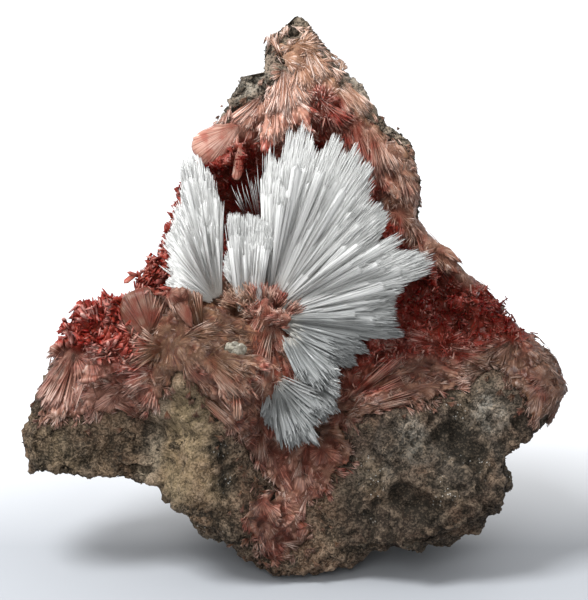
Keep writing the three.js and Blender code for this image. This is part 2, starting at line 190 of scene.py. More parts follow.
# Regions of the specimen. A zone has a name, runs from one pixel to another, fades out over its reach
# in pixels, and says how red and glassy, how tan, how pale and how dim the inesite is there, each from
# 0 to 1.
INESITE_ZONES = [
    ("apex", (298, 40), (302, 70), 30, 0.05, 0.85, 1.0, 0.0),
    ("below the apex", (286, 90), (276, 120), 26, 0.1, 0.3, 1.0, 0.0),
    ("pink drape", (256, 125), (290, 140), 16, 0.25, 0.2, 0.8, 0.0),
    ("bright spot", (318, 102), (330, 112), 13, 0.75, 0.0, 0.35, 0.1),
    ("pale tuft", (345, 92), (372, 112), 14, 0.10, 0.75, 0.8, 0.1),
    ("brown slope", (340, 130), (362, 165), 20, 0.5, 0.35, 0.3, 0.5),
    ("shoulder", (385, 135), (412, 195), 22, 0.22, 0.5, 0.5, 0.3),
    ("rim of the shoulder", (400, 120), (422, 180), 10, 0.1, 0.9, 0.5, 0.35),
    ("bulb", (200, 142), (232, 135), 16, 0.2, 0.1, 1.0, 0.0),
    ("under the bulb", (200, 165), (232, 168), 13, 0.9, 0.0, 0.25, 0.2),
    # In the hollows the dim is painted shade over the deep red.
    ("hollow", (240, 175), (330, 180), 34, 1.0, 0.0, 0.0, 0.4),
    ("deep hollow", (215, 200), (260, 260), 26, 1.0, 0.0, 0.0, 0.6),
    ("hollow behind the fan", (330, 220), (380, 300), 40, 1.0, 0.0, 0.0, 0.5),
    ("left edge", (172, 190), (158, 285), 14, 0.85, 0.0, 0.4, 0.3),
    ("left edge, outside", (160, 210), (140, 282), 8, 0.6, 0.2, 0.6, 0.3),
    ("left shelf", (88, 320), (128, 336), 26, 0.88, 0.0, 0.3, 0.15),
    ("left shelf rim", (72, 325), (104, 296), 8, 0.8, 0.1, 0.4, 0.2),
    ("disc", (142, 330), (158, 305), 15, 0.38, 0.6, 0.3, 0.55),
    ("beside the disc", (184, 300), (198, 322), 10, 0.35, 0.35, 0.4, 0.5),
    ("long sprays", (62, 380), (100, 385), 30, 0.25, 0.15, 0.45, 0.6),
    ("fan to the left", (140, 365), (112, 355), 10, 0.55, 0.1, 0.6, 0.35),
    ("left corner", (32, 412), (60, 425), 16, 0.2, 0.5, 0.5, 0.6),
    ("lump", (160, 345), (250, 345), 22, 0.2, 1.0, 0.2, 0.8),
    ("lump crown", (200, 310), (245, 295), 16, 0.2, 1.0, 0.35, 0.5),
    ("fans under the lump", (200, 375), (240, 400), 20, 0.3, 0.6, 0.3, 0.7),
    ("flower", (262, 305), (268, 365), 14, 0.45, 0.5, 0.5, 0.25),
    ("lower run", (240, 450), (275, 520), 34, 0.38, 0.4, 0.3, 0.85),
    ("lower run, pale", (270, 470), (290, 500), 18, 0.3, 0.3, 0.6, 0.15),
    ("middle right", (330, 420), (420, 375), 18, 0.32, 0.55, 0.35, 0.75),
    ("patch under the fan", (345, 372), (364, 390), 12, 0.55, 0.2, 0.15, 0.4),
    # In the hollows the dim is painted shade over the deep red.
    ("right hollow", (415, 290), (500, 318), 26, 1.0, 0.0, 0.0, 0.6),
    ("right hollow, low", (375, 345), (470, 345), 9, 0.7, 0.2, 0.3, 0.5),
    ("lower flank", (400, 215), (470, 275), 18, 0.25, 0.6, 0.5, 0.45),
    ("red notch", (388, 234), (396, 226), 7, 0.9, 0.0, 0.2, 0.2),
    ("right corner", (500, 360), (552, 385), 26, 0.22, 0.7, 0.5, 0.95),
    ("right corner, dark", (525, 375), (535, 390), 10, 0.5, 0.3, 0.2, 0.85),
]
# The same for the rock: how dark, how grey-green, how light and how pink it is. The recesses, clefts,
# hollows and vugs are made darkest as painted shade.
ROCK_ZONES = [
    ("column", (170, 390), (195, 480), 34, 0.0, 0.1, 0.9, 0.0),
    ("column, low", (190, 505), (230, 530), 28, 0.91, 0.0, 0.0, 0.1),
    ("left lobe", (40, 440), (140, 455), 24, 0.4, 0.0, 0.3, 0.4),
    ("left lobe, top", (90, 420), (135, 425), 14, 0.15, 0.1, 0.35, 0.6),
    ("recess", (146, 420), (154, 434), 10, 1.0, 0.0, 0.0, 0.0),
    ("column's ridge", (168, 388), (152, 468), 8, 0.0, 0.9, 0.6, 0.0),
    ("cleft beside the column", (222, 440), (230, 478), 8, 1.0, 0.0, 0.0, 0.0),
    ("vug", (442, 430), (470, 450), 11, 1.0, 0.0, 0.0, 0.0),
    ("vug, low", (398, 490), (424, 505), 12, 1.0, 0.0, 0.0, 0.0),
    ("pale patch", (410, 420), (404, 440), 8, 0.5, 0.5, 0.0, 0.0),
    ("pale patch, right", (478, 405), (490, 418), 8, 0.5, 0.55, 0.0, 0.0),
    ("hollow in the left lobe", (122, 448), (128, 456), 10, 0.97, 0.0, 0.0, 0.1),
    ("hollow under the corner", (520, 420), (540, 425), 10, 0.97, 0.1, 0.0, 0.0),
    ("right bulge", (400, 410), (470, 460), 52, 0.9, 0.09, 0.0, 0.1),
    ("right bulge, low", (370, 520), (480, 500), 30, 0.93, 0.0, 0.0, 0.2),
    ("lower run", (240, 440), (300, 560), 48, 0.3, 0.0, 0.25, 0.9),
    ("under the right hollow", (380, 375), (440, 370), 16, 0.3, 0.4, 0.2, 0.35),
    ("upper left rim", (232, 105), (262, 86), 26, 0.0, 1.0, 0.15, 0.0),
    ("apex", (290, 25), (310, 30), 16, 0.3, 0.5, 0.2, 0.1),
    ("right rim", (335, 60), (420, 190), 22, 0.0, 1.0, 0.15, 0.0),
    ("lower right rim", (430, 225), (500, 300), 20, 0.0, 0.8, 0.2, 0.1),
]


# Where nothing of the zones reaches, the rock and the inesite are as said here.
PLAIN_ROCK = (0.4, 0.3, 0.15, 0.0)
PLAIN_INESITE = (0.4, 0.4, 0.3, 0.4)
PLAIN_WEIGHT = 0.02
ZONE_FADE = 1.6  # how fast a zone fades
ZONE_REACH = 30  # reach of a zone of usual size, in pixels
ROCK_SHARPNESS = 1.5  # how much the rock's small zones win over the large ones
ROCK_FIELDS = ("dark", "grey", "light", "pink")
INESITE_FIELDS = ("red", "tan", "pale", "dim")


# Parts of the specimen's outline as pixels, clockwise, that no piece stands out of.
OUTLINES = [
    [
        (265, 77), (265, 58), (266, 37), (277, 35), (287, 27), (295, 19), (302, 18), (308, 24), (313, 33),
        (319, 41), (330, 54), (345, 66), (358, 76), (369, 88), (374, 99),
    ],
    [
        (427, 220), (438, 233), (445, 244), (453, 254), (468, 274), (485, 282), (498, 289), (505, 302),
        (512, 322), (521, 327), (536, 337), (546, 349), (556, 366), (568, 385),
    ],
]
OUTLINE_REACH = 6.0  # millimetres from an outline within which it holds
OUTLINE_SLACK = 0.12  # millimetres by which a crystal may stand out of it


def way_inside(spots):
    """How to move each place so that it doesn't stand out of the outlines, in world millimetres."""
    face = to_face(spots)
    back = np.zeros((len(face), 3))
    for outline in OUTLINES:
        nearest = np.full(len(face), OUTLINE_REACH)
        corners = pixel_to_face(outline)
        for index, (start, end) in enumerate(zip(corners[:-1], corners[1:])):
            leg = end - start
            away = face[:, :2] - start
            share = away @ leg / (leg @ leg)
            offset = away - np.clip(share, 0, 1)[:, None] * leg
            miss = np.linalg.norm(offset, axis=1)
            closer = miss < nearest
            nearest[closer] = miss[closer]
            past_end = (share < 0) & (index == 0) | (share > 1) & (index == len(outline) - 2)
            outside = (offset @ (-leg[1], leg[0]) > 0) & ~past_end
            back[closer, :2] = np.where(outside[:, None], -offset, 0)[closer]
    return to_world(back)


def run_distance(face, start, end):
    """Distance on the display face from each place to a run between two pixels, in pixels."""
    a, b = pixel_to_face(start), pixel_to_face(end)
    leg = b - a
    away = face[:, :2] - a
    share = np.clip((away @ leg) / max(leg @ leg, 1e-9), 0, 1)
    return np.linalg.norm(away - share[:, None] * leg, axis=1) / PIXEL


def zone_values(world, zones, fallback, sharpness=0.0):
    """What the zones say at each place, blended by nearness. Sharpness favours the small zones."""
    face = to_face(world)
    total = np.full(len(face), PLAIN_WEIGHT)
    values = np.tile(np.asarray(fallback, float), (len(face), 1)) * PLAIN_WEIGHT
    for _, start, end, reach, *says in zones:
        near = np.exp(-ZONE_FADE * (run_distance(face, start, end) / reach) ** 2)
        near *= (ZONE_REACH / reach) ** sharpness
        total += near
        values += near[:, None] * np.asarray(says)
    return values / total[:, None]


def rock_values(world):
    """How dark, how grey-green, how light and how pink the rock is at each place."""
    return zone_values(world, ROCK_ZONES, PLAIN_ROCK, ROCK_SHARPNESS)


def inesite_values(world):
    """How red, how tan, how pale and how dim the inesite is at each place."""
    return zone_values(world, INESITE_ZONES, PLAIN_INESITE)


# Sprays of inesite, by the piece that they belong to: name, root and tip as pixels, how wide the
# spray spreads in degrees, how many blades it has, how far it leans out of the surface, and how wide
# a blade is in millimetres.
INESITE_SPRAYS = {
    "inesite_upper_sprays": [
        ("crown", (297, 52), (284, 38), 130, 90, 20, 0.2),
        ("crown, right", (300, 50), (318, 44), 90, 80, 16, 0.2),
        ("band under the crown", (284, 62), (320, 66), 46, 90, 12, 0.2),
        ("right of the crown", (308, 54), (330, 88), 60, 90, 12, 0.2),
        ("below the crown", (300, 66), (306, 98), 90, 110, 12, 0.2),
        ("long fan, left", (283, 74), (262, 104), 50, 120, 12, 0.2),
        ("long fan, middle", (284, 76), (282, 126), 46, 150, 10, 0.2),
        ("long fan, right", (286, 76), (306, 116), 34, 120, 12, 0.2),
        ("drape, left", (262, 102), (250, 138), 60, 110, 8, 0.3),
        ("drape, right", (276, 108), (272, 148), 50, 110, 10, 0.3),
        ("beside the spot", (298, 100), (302, 140), 50, 100, 12, 0.2),
        ("spot", (322, 106), (322, 86), 160, 90, 20, 0.2),
        ("under the spot", (322, 108), (332, 142), 90, 90, 14, 0.2),
        ("tuft", (336, 90), (366, 98), 60, 90, 16, 0.2),
        ("tuft, low", (338, 96), (360, 116), 50, 90, 16, 0.2),
        ("rim run", (342, 88), (380, 114), 40, 90, 8, 0.2),
        ("shoulder, outer", (378, 122), (414, 172), 38, 150, 8, 0.2),
        ("shoulder, middle", (368, 126), (398, 188), 38, 170, 8, 0.2),
        ("shoulder, inner", (352, 122), (380, 172), 40, 130, 10, 0.2),
        ("shoulder, foot", (392, 158), (419, 208), 38, 140, 8, 0.2),
        ("brown slope", (342, 124), (358, 160), 50, 100, 12, 0.2),
        ("bulb, low", (238, 138), (206, 164), 32, 110, 4, 0.6),
        ("hanging blade, left", (229, 148), (224, 172), 18, 30, 14, 0.45),
    ],
    "inesite_left_sprays": [
        ("long spray, outer", (74, 354), (42, 408), 26, 170, 6, 0.4),
        ("long spray, middle", (80, 352), (64, 418), 26, 170, 6, 0.4),
        ("long spray, inner", (94, 352), (84, 414), 28, 160, 6, 0.36),
        ("fan to the left", (154, 369), (106, 356), 26, 130, 12, 0.34),
        ("fan to the left, low", (154, 372), (116, 386), 36, 130, 8, 0.2),
        ("shard", (144, 414), (108, 396), 12, 60, 8, 0.4),
        ("hanging fan", (158, 384), (145, 414), 44, 90, 8, 0.2),
        ("slope", (122, 392), (100, 422), 50, 100, 6, 0.2),
        ("corner tufts", (42, 402), (28, 424), 90, 90, 10, 0.2),
        ("corner foot", (72, 415), (58, 438), 70, 90, 6, 0.2),
        ("disc, top", (151, 338), (151, 292), 44, 200, 8, 0.3),
        ("disc, left", (150, 338), (126, 314), 44, 150, 10, 0.3),
        ("disc, face", (164, 346), (132, 338), 70, 150, 12, 0.3),
        ("beside the disc", (196, 328), (178, 289), 18, 90, 20, 0.5),
        ("beside the disc, right", (202, 326), (195, 294), 26, 90, 18, 0.45),
        ("shelf blades", (112, 326), (114, 294), 44, 80, 24, 0.5),
        ("shelf blades, left", (100, 330), (88, 302), 40, 70, 24, 0.55),
        ("shelf fringe", (118, 352), (92, 348), 40, 70, 14, 0.3),
    ],
    "inesite_centre_sprays": [
        ("lump, first", (176, 346), (206, 390), 26, 150, 6, 0.2),
        ("lump, second", (182, 344), (236, 424), 16, 150, 6, 0.2),
        ("lump, third", (208, 356), (252, 378), 30, 130, 8, 0.2),
        ("lump, fourth", (208, 358), (246, 402), 26, 130, 8, 0.2),
        ("silvery needles", (206, 396), (238, 426), 12, 70, 12, 0.3),
        ("silvery band", (208, 338), (242, 333), 16, 60, 10, 0.2),
        ("lump crown", (200, 322), (232, 294), 60, 130, 12, 0.2),
        ("lump crown, right", (216, 328), (250, 304), 60, 130, 12, 0.2),
        ("lump face", (190, 334), (224, 332), 60, 120, 12, 0.2),
        ("lump edge", (180, 330), (166, 366), 60, 90, 8, 0.2),
        ("pink blades", (238, 386), (240, 420), 18, 80, 12, 0.4),
        ("under the chip", (224, 358), (256, 372), 44, 90, 10, 0.2),
        ("flower, right", (272, 322), (309, 299), 15, 90, 24, 0.3),
        ("flower, up", (266, 318), (262, 284), 34, 80, 24, 0.2),
        ("flower, left", (264, 320), (242, 294), 44, 80, 18, 0.2),
        ("flower, down", (270, 322), (262, 378), 36, 170, 14, 0.2),
        ("flower, cap", (277, 334), (266, 304), 80, 150, 8, 0.2),
        ("flower, knob", (286, 321), (276, 308), 140, 150, 8, 0.2),
        ("flower, knob, low", (284, 315), (276, 332), 140, 120, 8, 0.2),
        ("flower, middle", (268, 306), (274, 340), 60, 150, 8, 0.2),
        ("flower, down left", (266, 322), (247, 374), 26, 120, 14, 0.2),
        ("flower, down right", (274, 326), (285, 376), 22, 90, 16, 0.2),
        ("patch", (286, 356), (313, 364), 34, 60, 18, 0.2),
        ("run, top", (262, 420), (250, 470), 60, 120, 6, 0.2),
        ("run, left", (250, 440), (230, 488), 44, 120, 6, 0.2),
        ("run, middle", (272, 450), (272, 504), 60, 140, 8, 0.2),
        ("run, right", (296, 448), (322, 492), 54, 120, 6, 0.2),
        ("run, low", (262, 496), (290, 542), 70, 120, 6, 0.2),
        ("run, foot", (262, 520), (252, 562), 70, 120, 4, 0.2),
        ("to the right", (316, 428), (371, 421), 26, 120, 8, 0.2),
        ("to the right, upper", (342, 402), (410, 359), 22, 140, 8, 0.26),
        ("to the right, middle", (350, 410), (422, 384), 22, 130, 6, 0.2),
        ("to the right, low", (322, 446), (372, 450), 40, 100, 6, 0.2),
    ],
    "inesite_right_sprays": [
        ("flank, upper", (400, 200), (428, 228), 60, 100, 10, 0.2),
        ("flank, middle", (416, 226), (450, 258), 60, 110, 10, 0.2),
        ("flank, inner", (398, 214), (414, 248), 60, 90, 10, 0.2),
        ("flank, foot", (438, 250), (474, 280), 50, 110, 8, 0.2),
        ("flank, lowest", (462, 272), (498, 300), 50, 90, 10, 0.2),
        ("corner, left", (508, 340), (472, 368), 34, 130, 8, 0.2),
        ("corner, down", (508, 342), (518, 380), 40, 140, 8, 0.2),
        ("corner, right", (512, 338), (554, 368), 30, 170, 8, 0.2),
        ("corner rim", (528, 342), (568, 384), 18, 130, 10, 0.35),
        ("corner foot", (540, 378), (522, 416), 44, 110, 6, 0.2),
        ("corner edge", (556, 384), (545, 412), 40, 90, 8, 0.2),
        ("shelf fan", (437, 343), (400, 328), 50, 130, 12, 0.2),
        ("shelf fan, right", (437, 345), (474, 336), 60, 110, 10, 0.2),
        ("shelf front", (404, 347), (368, 342), 40, 100, 8, 0.2),
        ("under the shelf", (446, 352), (492, 366), 50, 110, 6, 0.2),
    ],
}
INESITE_PIECES = tuple(INESITE_SPRAYS)
INESITE_CENTRE = INESITE_PIECES.index("inesite_centre_sprays")
# Sprays of inesite that lie over the root of the natrolite, in the same terms.
ROOT_SPRAYS = [
    ("right", (280, 320), (306, 300), 30, 110, 12, 0.2),
    ("up, right", (274, 314), (286, 288), 34, 70, 12, 0.2),
    ("up", (266, 314), (264, 280), 60, 130, 12, 0.2),
    ("up, left", (258, 312), (240, 284), 60, 130, 12, 0.2),
    ("left", (248, 310), (226, 288), 60, 110, 10, 0.2),
    ("down, right", (280, 330), (290, 352), 40, 60, 12, 0.2),
    ("middle", (242, 316), (268, 300), 120, 90, 10, 0.2),
    ("middle, left", (236, 316), (246, 296), 120, 90, 10, 0.2),
    ("middle, right", (282, 316), (256, 306), 90, 90, 10, 0.2),
    ("middle, low", (262, 322), (256, 300), 110, 90, 10, 0.2),
]
ROOT_DEPTH = -20.0  # depth at which they start
# Smooth lobes of inesite: root and tip as pixels, width and thickness in millimetres, and how red,
# tan, pale and dim each one is.
LOBES = [
    ((239, 127), (197, 158), 6.4, 4.0, 0.34, 0.15, 0.25, 0.3),
    ((164, 354), (140, 290), 8.0, 3.6, 0.42, 0.6, 0.05, 0.95),
    ((242, 144), (237, 181), 1.9, 0.9, 0.4, 0.2, 0.3, 0.35),
    ((196, 326), (180, 291), 2.6, 1.2, 0.35, 0.4, 0.2, 0.65),
]


def piece_of(face):
    """Index of the inesite piece that a place on the display face belongs to."""
    across, up = face[:, 0], face[:, 1]
    upper = up > 61
    left = (across < -19.5) & ~upper
    right = (across > 19.5) & ~upper
    return np.where(upper, 0, np.where(left, 1, np.where(right, 3, 2)))


# The shapes of a crystal: across its width, through its thickness and, along its length, 0 at the
# root, 1 where the point starts and 2 at the tip.
PRISM = (
    [
        (-0.5, -0.5, 0), (0.5, -0.5, 0), (0.5, 0.5, 0), (-0.5, 0.5, 0),
        (-0.5, -0.5, 1), (0.5, -0.5, 1), (0.5, 0.5, 1), (-0.5, 0.5, 1),
        (0, 0, 2),
    ],
    [
        [(0, 1, 5, 4), (1, 2, 6, 5), (2, 3, 7, 6), (3, 0, 4, 7), (3, 2, 1, 0)],
        [(4, 5, 8), (5, 6, 8), (6, 7, 8), (7, 4, 8)],
    ],
)
SPIKE = (
    [(0, 0, 0), (-0.5, -0.3, 1), (0.5, -0.3, 1), (0, 0.6, 1), (0, 0, 2)],
    [[(1, 0, 2), (2, 0, 3), (3, 0, 1), (1, 2, 4), (2, 3, 4), (3, 1, 4)]],
)


CHIP_PLACE = (-9.7, 36.6)  # across and up of the pale crystal in the lump
CHIP_CLEAR = (2.4, 1.3)  # half of the space that stays open before it


def clear_of_chip(spots):
    """Whether each place leaves the pale crystal in view."""
    offset = (to_face(spots)[:, :2] - CHIP_PLACE) / CHIP_CLEAR
    return (offset ** 2).sum(1) > 1


class Crystals:
    """A growing heap of crystals of one shape that becomes one mesh."""

    VECTORS = ("root", "way", "flat")
    NUMBERS = ("long", "wide", "thick", "foot", "tip", "line")
    SHADES = ("red", "tan", "pale", "dim", "tint")

    def __init__(self, shape):
        self.shape = np.array(shape[0], float)
        self.faces = shape[1]
        self.rows = {field: [] for field in (*self.VECTORS, *self.NUMBERS, *self.SHADES)}

    def add(self, **given):
        """Adds crystals, apart from any that hides the pale crystal or stands out of an outline."""
        middle, near_tip = (
            given["root"] + given["way"] * (part * given["long"])[:, None] for part in (0.6, 0.9)
        )
        inside = np.linalg.norm(way_inside(near_tip), axis=1) < OUTLINE_SLACK
        keep = clear_of_chip(middle) & inside
        given = {key: value[keep] if np.ndim(value) else value for key, value in given.items()}
        count = keep.sum()
        for field in self.rows:
            size = (count, 3) if field in self.VECTORS else (count,)
            self.rows[field].append(np.broadcast_to(np.asarray(given.get(field, 0), float), size))

    def build(self, name):
        """Makes one piece of all that was added, with what its material reads."""
        row = {field: np.concatenate(parts) for field, parts in self.rows.items()}
        count, corners = len(row["long"]), len(self.shape)
        way = unit(row["way"])
        flat = square_to(row["flat"], way)
        side = np.cross(flat, way)
        across, through, level = np.repeat(self.shape[None], count, 0).transpose(2, 0, 1)
        narrow = np.where(level == 0, row["foot"][:, None], 1)
        along = np.where(level == 1, 1 - row["tip"][:, None], level / 2)
        points = (
            row["root"][:, None]
            + side[:, None] * (across * narrow * row["wide"][:, None])[..., None]
            + flat[:, None] * (through * narrow * row["thick"][:, None])[..., None]
            + way[:, None] * (along * row["long"][:, None])[..., None]
        )
        piece = object_from(name, points * MM, *self.faces)
        paint(piece, "along", along.reshape(-1))
        paint(piece, "line", (across * row["wide"][:, None] + row["line"][:, None]).reshape(-1))
        for field in self.SHADES:
            paint(piece, field, np.repeat(row[field], corners))
        return piece


def object_from(name, points, *face_sets):
    """A piece made of many copies of a small shape. Its points are given by copy, corner and axis."""
    count, corners = points.shape[:2]
    mesh = bpy.data.meshes.new(name)
    loops, sizes = [], []
    for faces in face_sets:
        faces = np.asarray(faces)
        shifted = faces[None] + (np.arange(count) * corners)[:, None, None]
        loops.append(shifted.reshape(-1))
        sizes.append(np.full(count * len(faces), faces.shape[1]))
    loops, sizes = np.concatenate(loops), np.concatenate(sizes)
    mesh.vertices.add(count * corners)
    mesh.vertices.foreach_set("co", points.astype(np.float32).reshape(-1))
    mesh.loops.add(len(loops))
    mesh.loops.foreach_set("vertex_index", loops.astype(np.int32))
    mesh.polygons.add(len(sizes))
    starts = np.concatenate([[0], np.cumsum(sizes)[:-1]])
    mesh.polygons.foreach_set("loop_start", starts.astype(np.int32))
    mesh.update(calc_edges=True)
    mesh.validate()
    piece = bpy.data.objects.new(name, mesh)
    bpy.context.scene.collection.objects.link(piece)
    return piece


def paint(piece, field, values):
    """Stores a value for each point of a piece, for its material to read."""
    layer = piece.data.attributes.new(field, "FLOAT", "POINT")
    layer.data.foreach_set("value", np.asarray(values, np.float32))


def points_of(piece):
    """World millimetres of a piece's points."""
    spots = np.empty(len(piece.data.vertices) * 3, np.float32)
    piece.data.vertices.foreach_get("co", spots)
    return spots.reshape(-1, 3).astype(float) / MM


def place_points(piece, spots):
    """Moves a piece's points to places in world millimetres."""
    piece.data.vertices.foreach_set("co", (spots * MM).astype(np.float32).reshape(-1))


# Materials
def give(tree, node, inputs):
    """Gives a node's inputs their values or links. A colour is given by three numbers."""
    for key, value in inputs.items():
        socket = node.inputs[key]
        if isinstance(value, bpy.types.NodeSocket):
            tree.links.new(value, socket)
        elif socket.type == "RGBA":
            socket.default_value = (*value[:3], 1)
        else:
            socket.default_value = value


def put(tree, kind, inputs=None, **settings):
    """Adds a node, sets it up, and gives its inputs their values or links."""
    node = tree.nodes.new(kind)
    for key, value in settings.items():
        setattr(node, key, value)
    give(tree, node, inputs or {})
    return node


def blend(tree, share, first, second, kind="MIX"):
    """A mix of two colours."""
    given = {0: share, 6: first, 7: second}
    return put(tree, "ShaderNodeMix", given, data_type="RGBA", blend_type=kind).outputs[2]


def worked(tree, kind, first, second):
    """What Blender's maths node makes of two values."""
    return put(tree, "ShaderNodeMath", {0: first, 1: second}, operation=kind).outputs[0]


def product(tree, first, second):
    return worked(tree, "MULTIPLY", first, second)


def ranged(tree, value, low, high, to_low=0.0, to_high=1.0):
    """A value moved from one range to another and held inside it."""
    given = {"Value": value, "From Min": low, "From Max": high, "To Min": to_low, "To Max": to_high}
    return put(tree, "ShaderNodeMapRange", given).outputs[0]


def object_place(tree):
    """Where each spot of a piece is, in metres."""
    return put(tree, "ShaderNodeTexCoord").outputs["Object"]


def clouds(tree, place, scale, detail, roughness=0.5, dimensions="3D"):
    """A soft random pattern over places."""
    given = {"Vector": place, "Scale": scale, "Detail": detail, "Roughness": roughness}
    return put(tree, "ShaderNodeTexNoise", given, noise_dimensions=dimensions).outputs[0]


def cells_of(tree, place, scale):
    """A pattern of cells over places: a random value for each cell, and the distance from its middle."""
    cells = put(tree, "ShaderNodeTexVoronoi", {"Vector": place, "Scale": scale})
    value = put(tree, "ShaderNodeSeparateColor", {"Color": cells.outputs["Color"]}).outputs[0]
    return value, cells.outputs["Distance"]


def group_tree(name, inputs, outputs):
    """A new node group with named inputs and outputs: its tree, and the nodes at both of its ends."""
    tree = bpy.data.node_groups.new(name, "ShaderNodeTree")
    for label, (kind, value) in inputs.items():
        socket = tree.interface.new_socket(label, in_out="INPUT", socket_type=kind)
        socket.default_value = value
    for label, kind in outputs.items():
        tree.interface.new_socket(label, in_out="OUTPUT", socket_type=kind)
    return tree, tree.nodes.new("NodeGroupInput").outputs, tree.nodes.new("NodeGroupOutput")


def speckle_group():
    """Grains of light and dark over a colour, of a given size in millimetres, and their height."""
    name = "speckle"
    if name in bpy.data.node_groups:
        return bpy.data.node_groups[name]
    tree, given, out = group_tree(
        name,
        {
            "Color": ("NodeSocketColor", (0.5, 0.5, 0.5, 1)),
            "Dark": ("NodeSocketColor", (0.1, 0.1, 0.1, 1)),
            "Light": ("NodeSocketColor", (0.8, 0.8, 0.8, 1)),
            "Grain mm": ("NodeSocketFloat", 0.5),
            "Contrast": ("NodeSocketFloat", 0.6),
        },
        {"Color": "NodeSocketColor", "Height": "NodeSocketFloat"},
    )
    place = object_place(tree)
    fineness = worked(tree, "DIVIDE", 1 / MM, given["Grain mm"])
    grains = clouds(tree, place, fineness, 2.0, 0.7)
    cell, _ = cells_of(tree, place, product(tree, fineness, 1.1))
    mixed = worked(tree, "ADD", grains, ranged(tree, cell, 0.0, 1.0, 0.2, 0.8))
    dark = product(tree, ranged(tree, mixed, 0.99, 0.83), given["Contrast"])
    light = product(tree, ranged(tree, mixed, 1.06, 1.22), given["Contrast"])
    colour = blend(tree, dark, given["Color"], given["Dark"])
    colour = blend(tree, light, colour, given["Light"])
    give(tree, out, {"Color": colour, "Height": mixed})
    return tree


def flecks_group():
    """Sparse small flecks: a mask that is one on them."""
    name = "flecks"
    if name in bpy.data.node_groups:
        return bpy.data.node_groups[name]
    tree, given, out = group_tree(
        name,
        {"Size mm": ("NodeSocketFloat", 1.0), "Amount": ("NodeSocketFloat", 0.1)},
        {"Mask": "NodeSocketFloat"},
    )
    fineness = worked(tree, "DIVIDE", 1 / MM, given["Size mm"])
    cell, distance = cells_of(tree, object_place(tree), fineness)
    rare = worked(tree, "LESS_THAN", cell, given["Amount"])
    give(tree, out, {"Mask": product(tree, rare, ranged(tree, distance, 0.42, 0.30))})
    return tree


def painted(tree, *fields):
    """What was painted on a piece, one value for each field."""
    return (
        put(tree, "ShaderNodeAttribute", attribute_name=field, attribute_type="GEOMETRY").outputs["Fac"]
        for field in fields
    )


def new_material(name):
    """A material with a bare Principled shader: the material, its tree and the shader."""
    material = bpy.data.materials.new(name)
    material.use_nodes = True
    tree = material.node_tree
    return material, tree, tree.nodes["Principled BSDF"]


def bump(tree, height, strength, distance_mm):
    """A surface raised by a height."""
    given = {"Height": height, "Strength": strength, "Distance": distance_mm * MM}
    return put(tree, "ShaderNodeBump", given).outputs[0]


def rock_material(settings):
    """Brown grainy rock with dark, grey-green, light and pinkish places, pits, and white flecks that are
    painted glints, with painted shade in its hollows and its darkest zones and painted light on its raised
    places.
    """
    material, tree, shader = new_material("host_rock")
    dark, grey, light, pink, hollow = painted(tree, *ROCK_FIELDS, "hollow")
    place = object_place(tree)
    blotch = clouds(tree, place, 150.0, 3.0)
    drift = clouds(tree, place, 110.0, 2.0)
    broken = clouds(tree, place, 260.0, 6.0, 0.8)
    plain = ranged(tree, light, 0.3, 0.8, 1.0, 0.3)
    rusty = product(tree, ranged(tree, blotch, 0.5, 0.7, 0.0, 0.6), plain)
    shaded = product(tree, ranged(tree, blotch, 0.48, 0.3, 0.0, 0.8), plain)
    pitted = ranged(tree, broken, 0.5, 0.37, 0.0, 0.95)
    pitted = product(tree, pitted, ranged(tree, light, 0.2, 0.8, 1.0, 0.5))
    pitted = product(tree, pitted, ranged(tree, grey, 0.5, 1.0, 1.0, 0.6))
    knobbed = ranged(tree, broken, 0.54, 0.68, 0.0, 0.6)
    knobbed = product(tree, knobbed, ranged(tree, dark, 0.2, 1.0, 1.0, 0.25))
    colour = blend(tree, dark, settings.brown, settings.dark)
    for share, layer in (
        (grey, settings.grey),
        (light, settings.light),
        (product(tree, pink, 0.8), settings.pink),
        (rusty, settings.rust),
        (shaded, settings.dark),
        (ranged(tree, drift, 0.52, 0.68, 0.0, 0.18), settings.olive),
        (ranged(tree, drift, 0.46, 0.32, 0.0, 0.45), settings.rust),
        (pitted, settings.pit_and_shade),
        (knobbed, settings.grain_and_painted_light),
        # Painted shade and painted light: the rock is darker where it lies below its neighbours and in its
        # darkest zones, the vugs and recesses, and lighter where it stands above them.
        (ranged(tree, hollow, 0.03, 0.3, 0.0, 0.7), settings.pit_and_shade),
        (ranged(tree, hollow, -0.06, -0.4, 0.0, 0.3), settings.grain_and_painted_light),
        (ranged(tree, dark, 0.91, 0.99, 0.0, 0.8), settings.pit_and_shade),
    ):
        colour = blend(tree, share, colour, layer)
    grains = {
        "Color": colour,
        "Dark": settings.pit_and_shade,
        "Light": blend(tree, ranged(tree, dark, 0.0, 1.0, 0.5, 0.18), colour, settings.grain_and_painted_light),
        "Grain mm": settings.grain_size / MM,
        "Contrast": ranged(tree, light, 0.2, 0.7, 0.65, 0.45),
    }
    speckle = put(tree, "ShaderNodeGroup", grains, node_tree=speckle_group()).outputs
    # The white flecks are painted glints, shown only in the darker zones.
    flecks = put(tree, "ShaderNodeGroup", {"Size mm": 0.42, "Amount": 0.16}, node_tree=flecks_group())
    shown = product(tree, flecks.outputs["Mask"], ranged(tree, dark, 0.6, 0.9, 0.0, 0.6))
    shown = product(tree, shown, ranged(tree, drift, 0.56, 0.62))
    give(tree, shader, {
        "Base Color": blend(tree, shown, speckle["Color"], settings.painted_glint),
        "Roughness": ranged(tree, speckle["Height"], 0.8, 1.2, 0.95, 0.7),
        "Specular IOR Level": 0.16,
        "Normal": bump(tree, speckle["Height"], 1.0, 0.5),
    })
    return material


